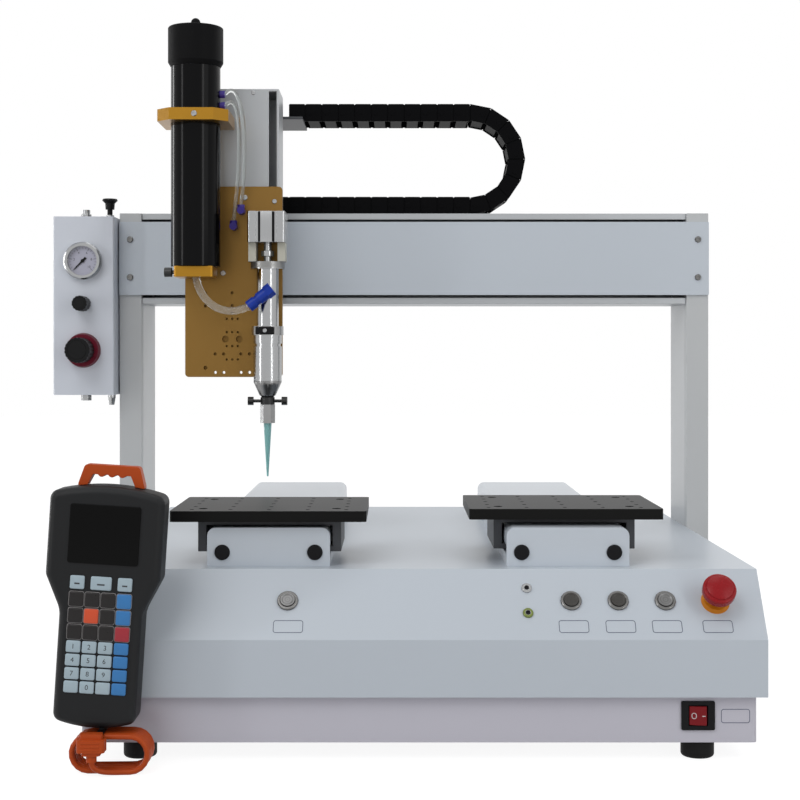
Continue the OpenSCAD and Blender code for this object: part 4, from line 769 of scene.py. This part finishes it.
coverFront, liftFront = frontOf("beam_cover"), frontOf("lift_housing")
plateFront, clampFront = frontOf("head_plate"), frontOf("barrel_clamp")
ring = {"x": head["valveX"] - 1.5, "front": head["valveY"] - 18.7, "z": 387.8, "grip": (20, 5, 8.4)}
screws("coverScrews", [(x, coverFront, z, 3.6) for x in (-322.5, 322.5) for z in (450, 493)], "base", bezelChrome)
screws("liftScrews", [(x, liftFront, z, 2.2) for x in (-216, -176) for z in (416.5, 647.5)], "carriage",
       paint["bright_metal"])
screws("headScrews", [(-184, plateFront, 532, 3), (-207.6, plateFront, 450.5, 3), (-229, clampFront, 611.2, 3),
                      (-240, plateFront, 528, 2.6), (-152, plateFront, 528, 2.6),
                      (ring["x"], ring["front"], ring["z"], 2.2)], "head", paint["bright_metal"])
# a black pad flush on the clamp ring's front: painted shade of the ring's dark recess round its set screw
gripMid = ring["front"] + ring["grip"][1] / 2
ringShadePad = block("ringShadePad", ring["grip"], move(ring["x"], gripMid, ring["z"]), 1)
settle(ringShadePad, "head", paint["knob_black"])
print("fasteners made")

# air cylinder: two slots for sensors along its front face, each with a dark sheet at its floor as painted shade
slots = {"wide": 2.6, "deep": 1.4, "side": 0.185}
cylinderLow, cylinderHigh = (Vector(c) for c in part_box("valve_cylinder"))
cylinderSize = cylinderHigh - cylinderLow
cylinderMid = (cylinderLow + cylinderHigh) / 2
cylinderLook = bpy.data.objects["valve_cylinder_look"]
slotHigh = cylinderSize.z / millimetre
slotShadeSheets = []
for side in (-1, 1):
    spot = Vector((cylinderMid.x + side * slots["side"] * cylinderSize.x, cylinderLow.y, cylinderMid.z))
    cutter = block("slotCutter", (slots["wide"], 2 * slots["deep"], slotHigh + 4), Matrix.Translation(spot))
    pick(cylinderLook)
    cut = cylinderLook.modifiers.new("slot", "BOOLEAN")
    cut.operation = "DIFFERENCE"
    cut.object = cutter
    bpy.ops.object.modifier_apply(modifier=cut.name)
    bpy.data.objects.remove(cutter)
    # a dark sheet at the slot's floor: painted shade inside the shallow slot
    slotShadeSheets.append(block("slotShadeSheet", (slots["wide"], 0.3, slotHigh - 1),
                            Matrix.Translation(spot) @ offset(0, slots["deep"], 0)))
settle(joined("slotShadeSheets", slotShadeSheets), "head", paint["switch_black"])
print("cylinder slotted,", len(cylinderLook.data.polygons), "faces")

# stage
bpy.ops.mesh.primitive_plane_add(size=9, location=(0, 2.5, 0))
floor = bpy.context.object
floor.name = "benchFloor"
floorMat, floorNodes, floorLinks, floorShader = newMaterial("paleFloor")
floorShader.inputs["Base Color"].default_value = (0.55, 0.55, 0.55, 1)
floorShader.inputs["Roughness"].default_value = 0.6
stage = {"floorGlow": 1.5, "floorShare": 0.6, "fillLight": 0.3}


def seenByEye(nodes, links):  # 1 for what the eye, mirrors and glass see, 0 for light on the object
    rays = nodes.new("ShaderNodeLightPath")
    eye = None
    for kind in ("Is Camera Ray", "Is Glossy Ray", "Is Transmission Ray"):
        if eye is None:
            eye = rays.outputs[kind]
            continue
        either = nodes.new("ShaderNodeMath")
        either.operation = "MAXIMUM"
        links.new(eye, either.inputs[0])
        links.new(rays.outputs[kind], either.inputs[1])
        eye = either.outputs["Value"]
    return eye


glow = floorNodes.new("ShaderNodeEmission")
glow.inputs["Strength"].default_value = stage["floorGlow"]
share = floorNodes.new("ShaderNodeMath")
share.operation = "MULTIPLY"
share.inputs[1].default_value = stage["floorShare"]
mixer = floorNodes.new("ShaderNodeMixShader")
floorLinks.new(seenByEye(floorNodes, floorLinks), share.inputs[0])
floorLinks.new(share.outputs["Value"], mixer.inputs["Fac"])
floorLinks.new(floorShader.outputs["BSDF"], mixer.inputs[1])
floorLinks.new(glow.outputs["Emission"], mixer.inputs[2])
floorLinks.new(mixer.outputs["Shader"], floorNodes["Material Output"].inputs["Surface"])
floor.data.materials.append(floorMat)

world = bpy.data.worlds.new("studioWorld")
bpy.context.scene.world = world
world.use_nodes = True
worldNodes, worldLinks = world.node_tree.nodes, world.node_tree.links
backdrop = worldNodes["Background"]
backdrop.inputs["Color"].default_value = (1, 1, 1, 1)
strength = worldNodes.new("ShaderNodeMapRange")
strength.inputs["To Min"].default_value = stage["fillLight"]
strength.inputs["To Max"].default_value = 1.0
worldLinks.new(seenByEye(worldNodes, worldLinks), strength.inputs["Value"])
worldLinks.new(strength.outputs["Result"], backdrop.inputs["Strength"])

lamps = [("keyLamp", (-0.9, -1.5, 1.9), (1.3, 1.3), 16), ("fillLamp", (1.4, -1.3, 1.2), (1.2, 1.2), 5),
         ("topLamp", (0.1, 0.2, 2.3), (1.6, 1.6), 8), ("rimLamp", (1.2, 1.3, 1.5), (0.9, 0.9), 6),
         ("leftStrip", (-1.9, -1.1, 0.5), (0.16, 1.3), 6), ("rightStrip", (1.1, -1.5, 0.5), (0.15, 1.3), 4),
         ("sideStrip", (-1.8, 0.8, 0.5), (0.24, 1.3), 9)]
for name, spot, size, power in lamps:
    bpy.ops.object.light_add(type="AREA", location=spot)
    lamp = bpy.context.object
    lamp.name = name
    lamp.data.shape = "RECTANGLE"
    lamp.data.size, lamp.data.size_y = size
    lamp.data.energy = power
    lamp.rotation_euler = (Vector((0, 0, 0.3)) - Vector(spot)).to_track_quat("-Z", "Y").to_euler()
bpy.context.scene.view_settings.view_transform = "Standard"
print("stage and lamps set")
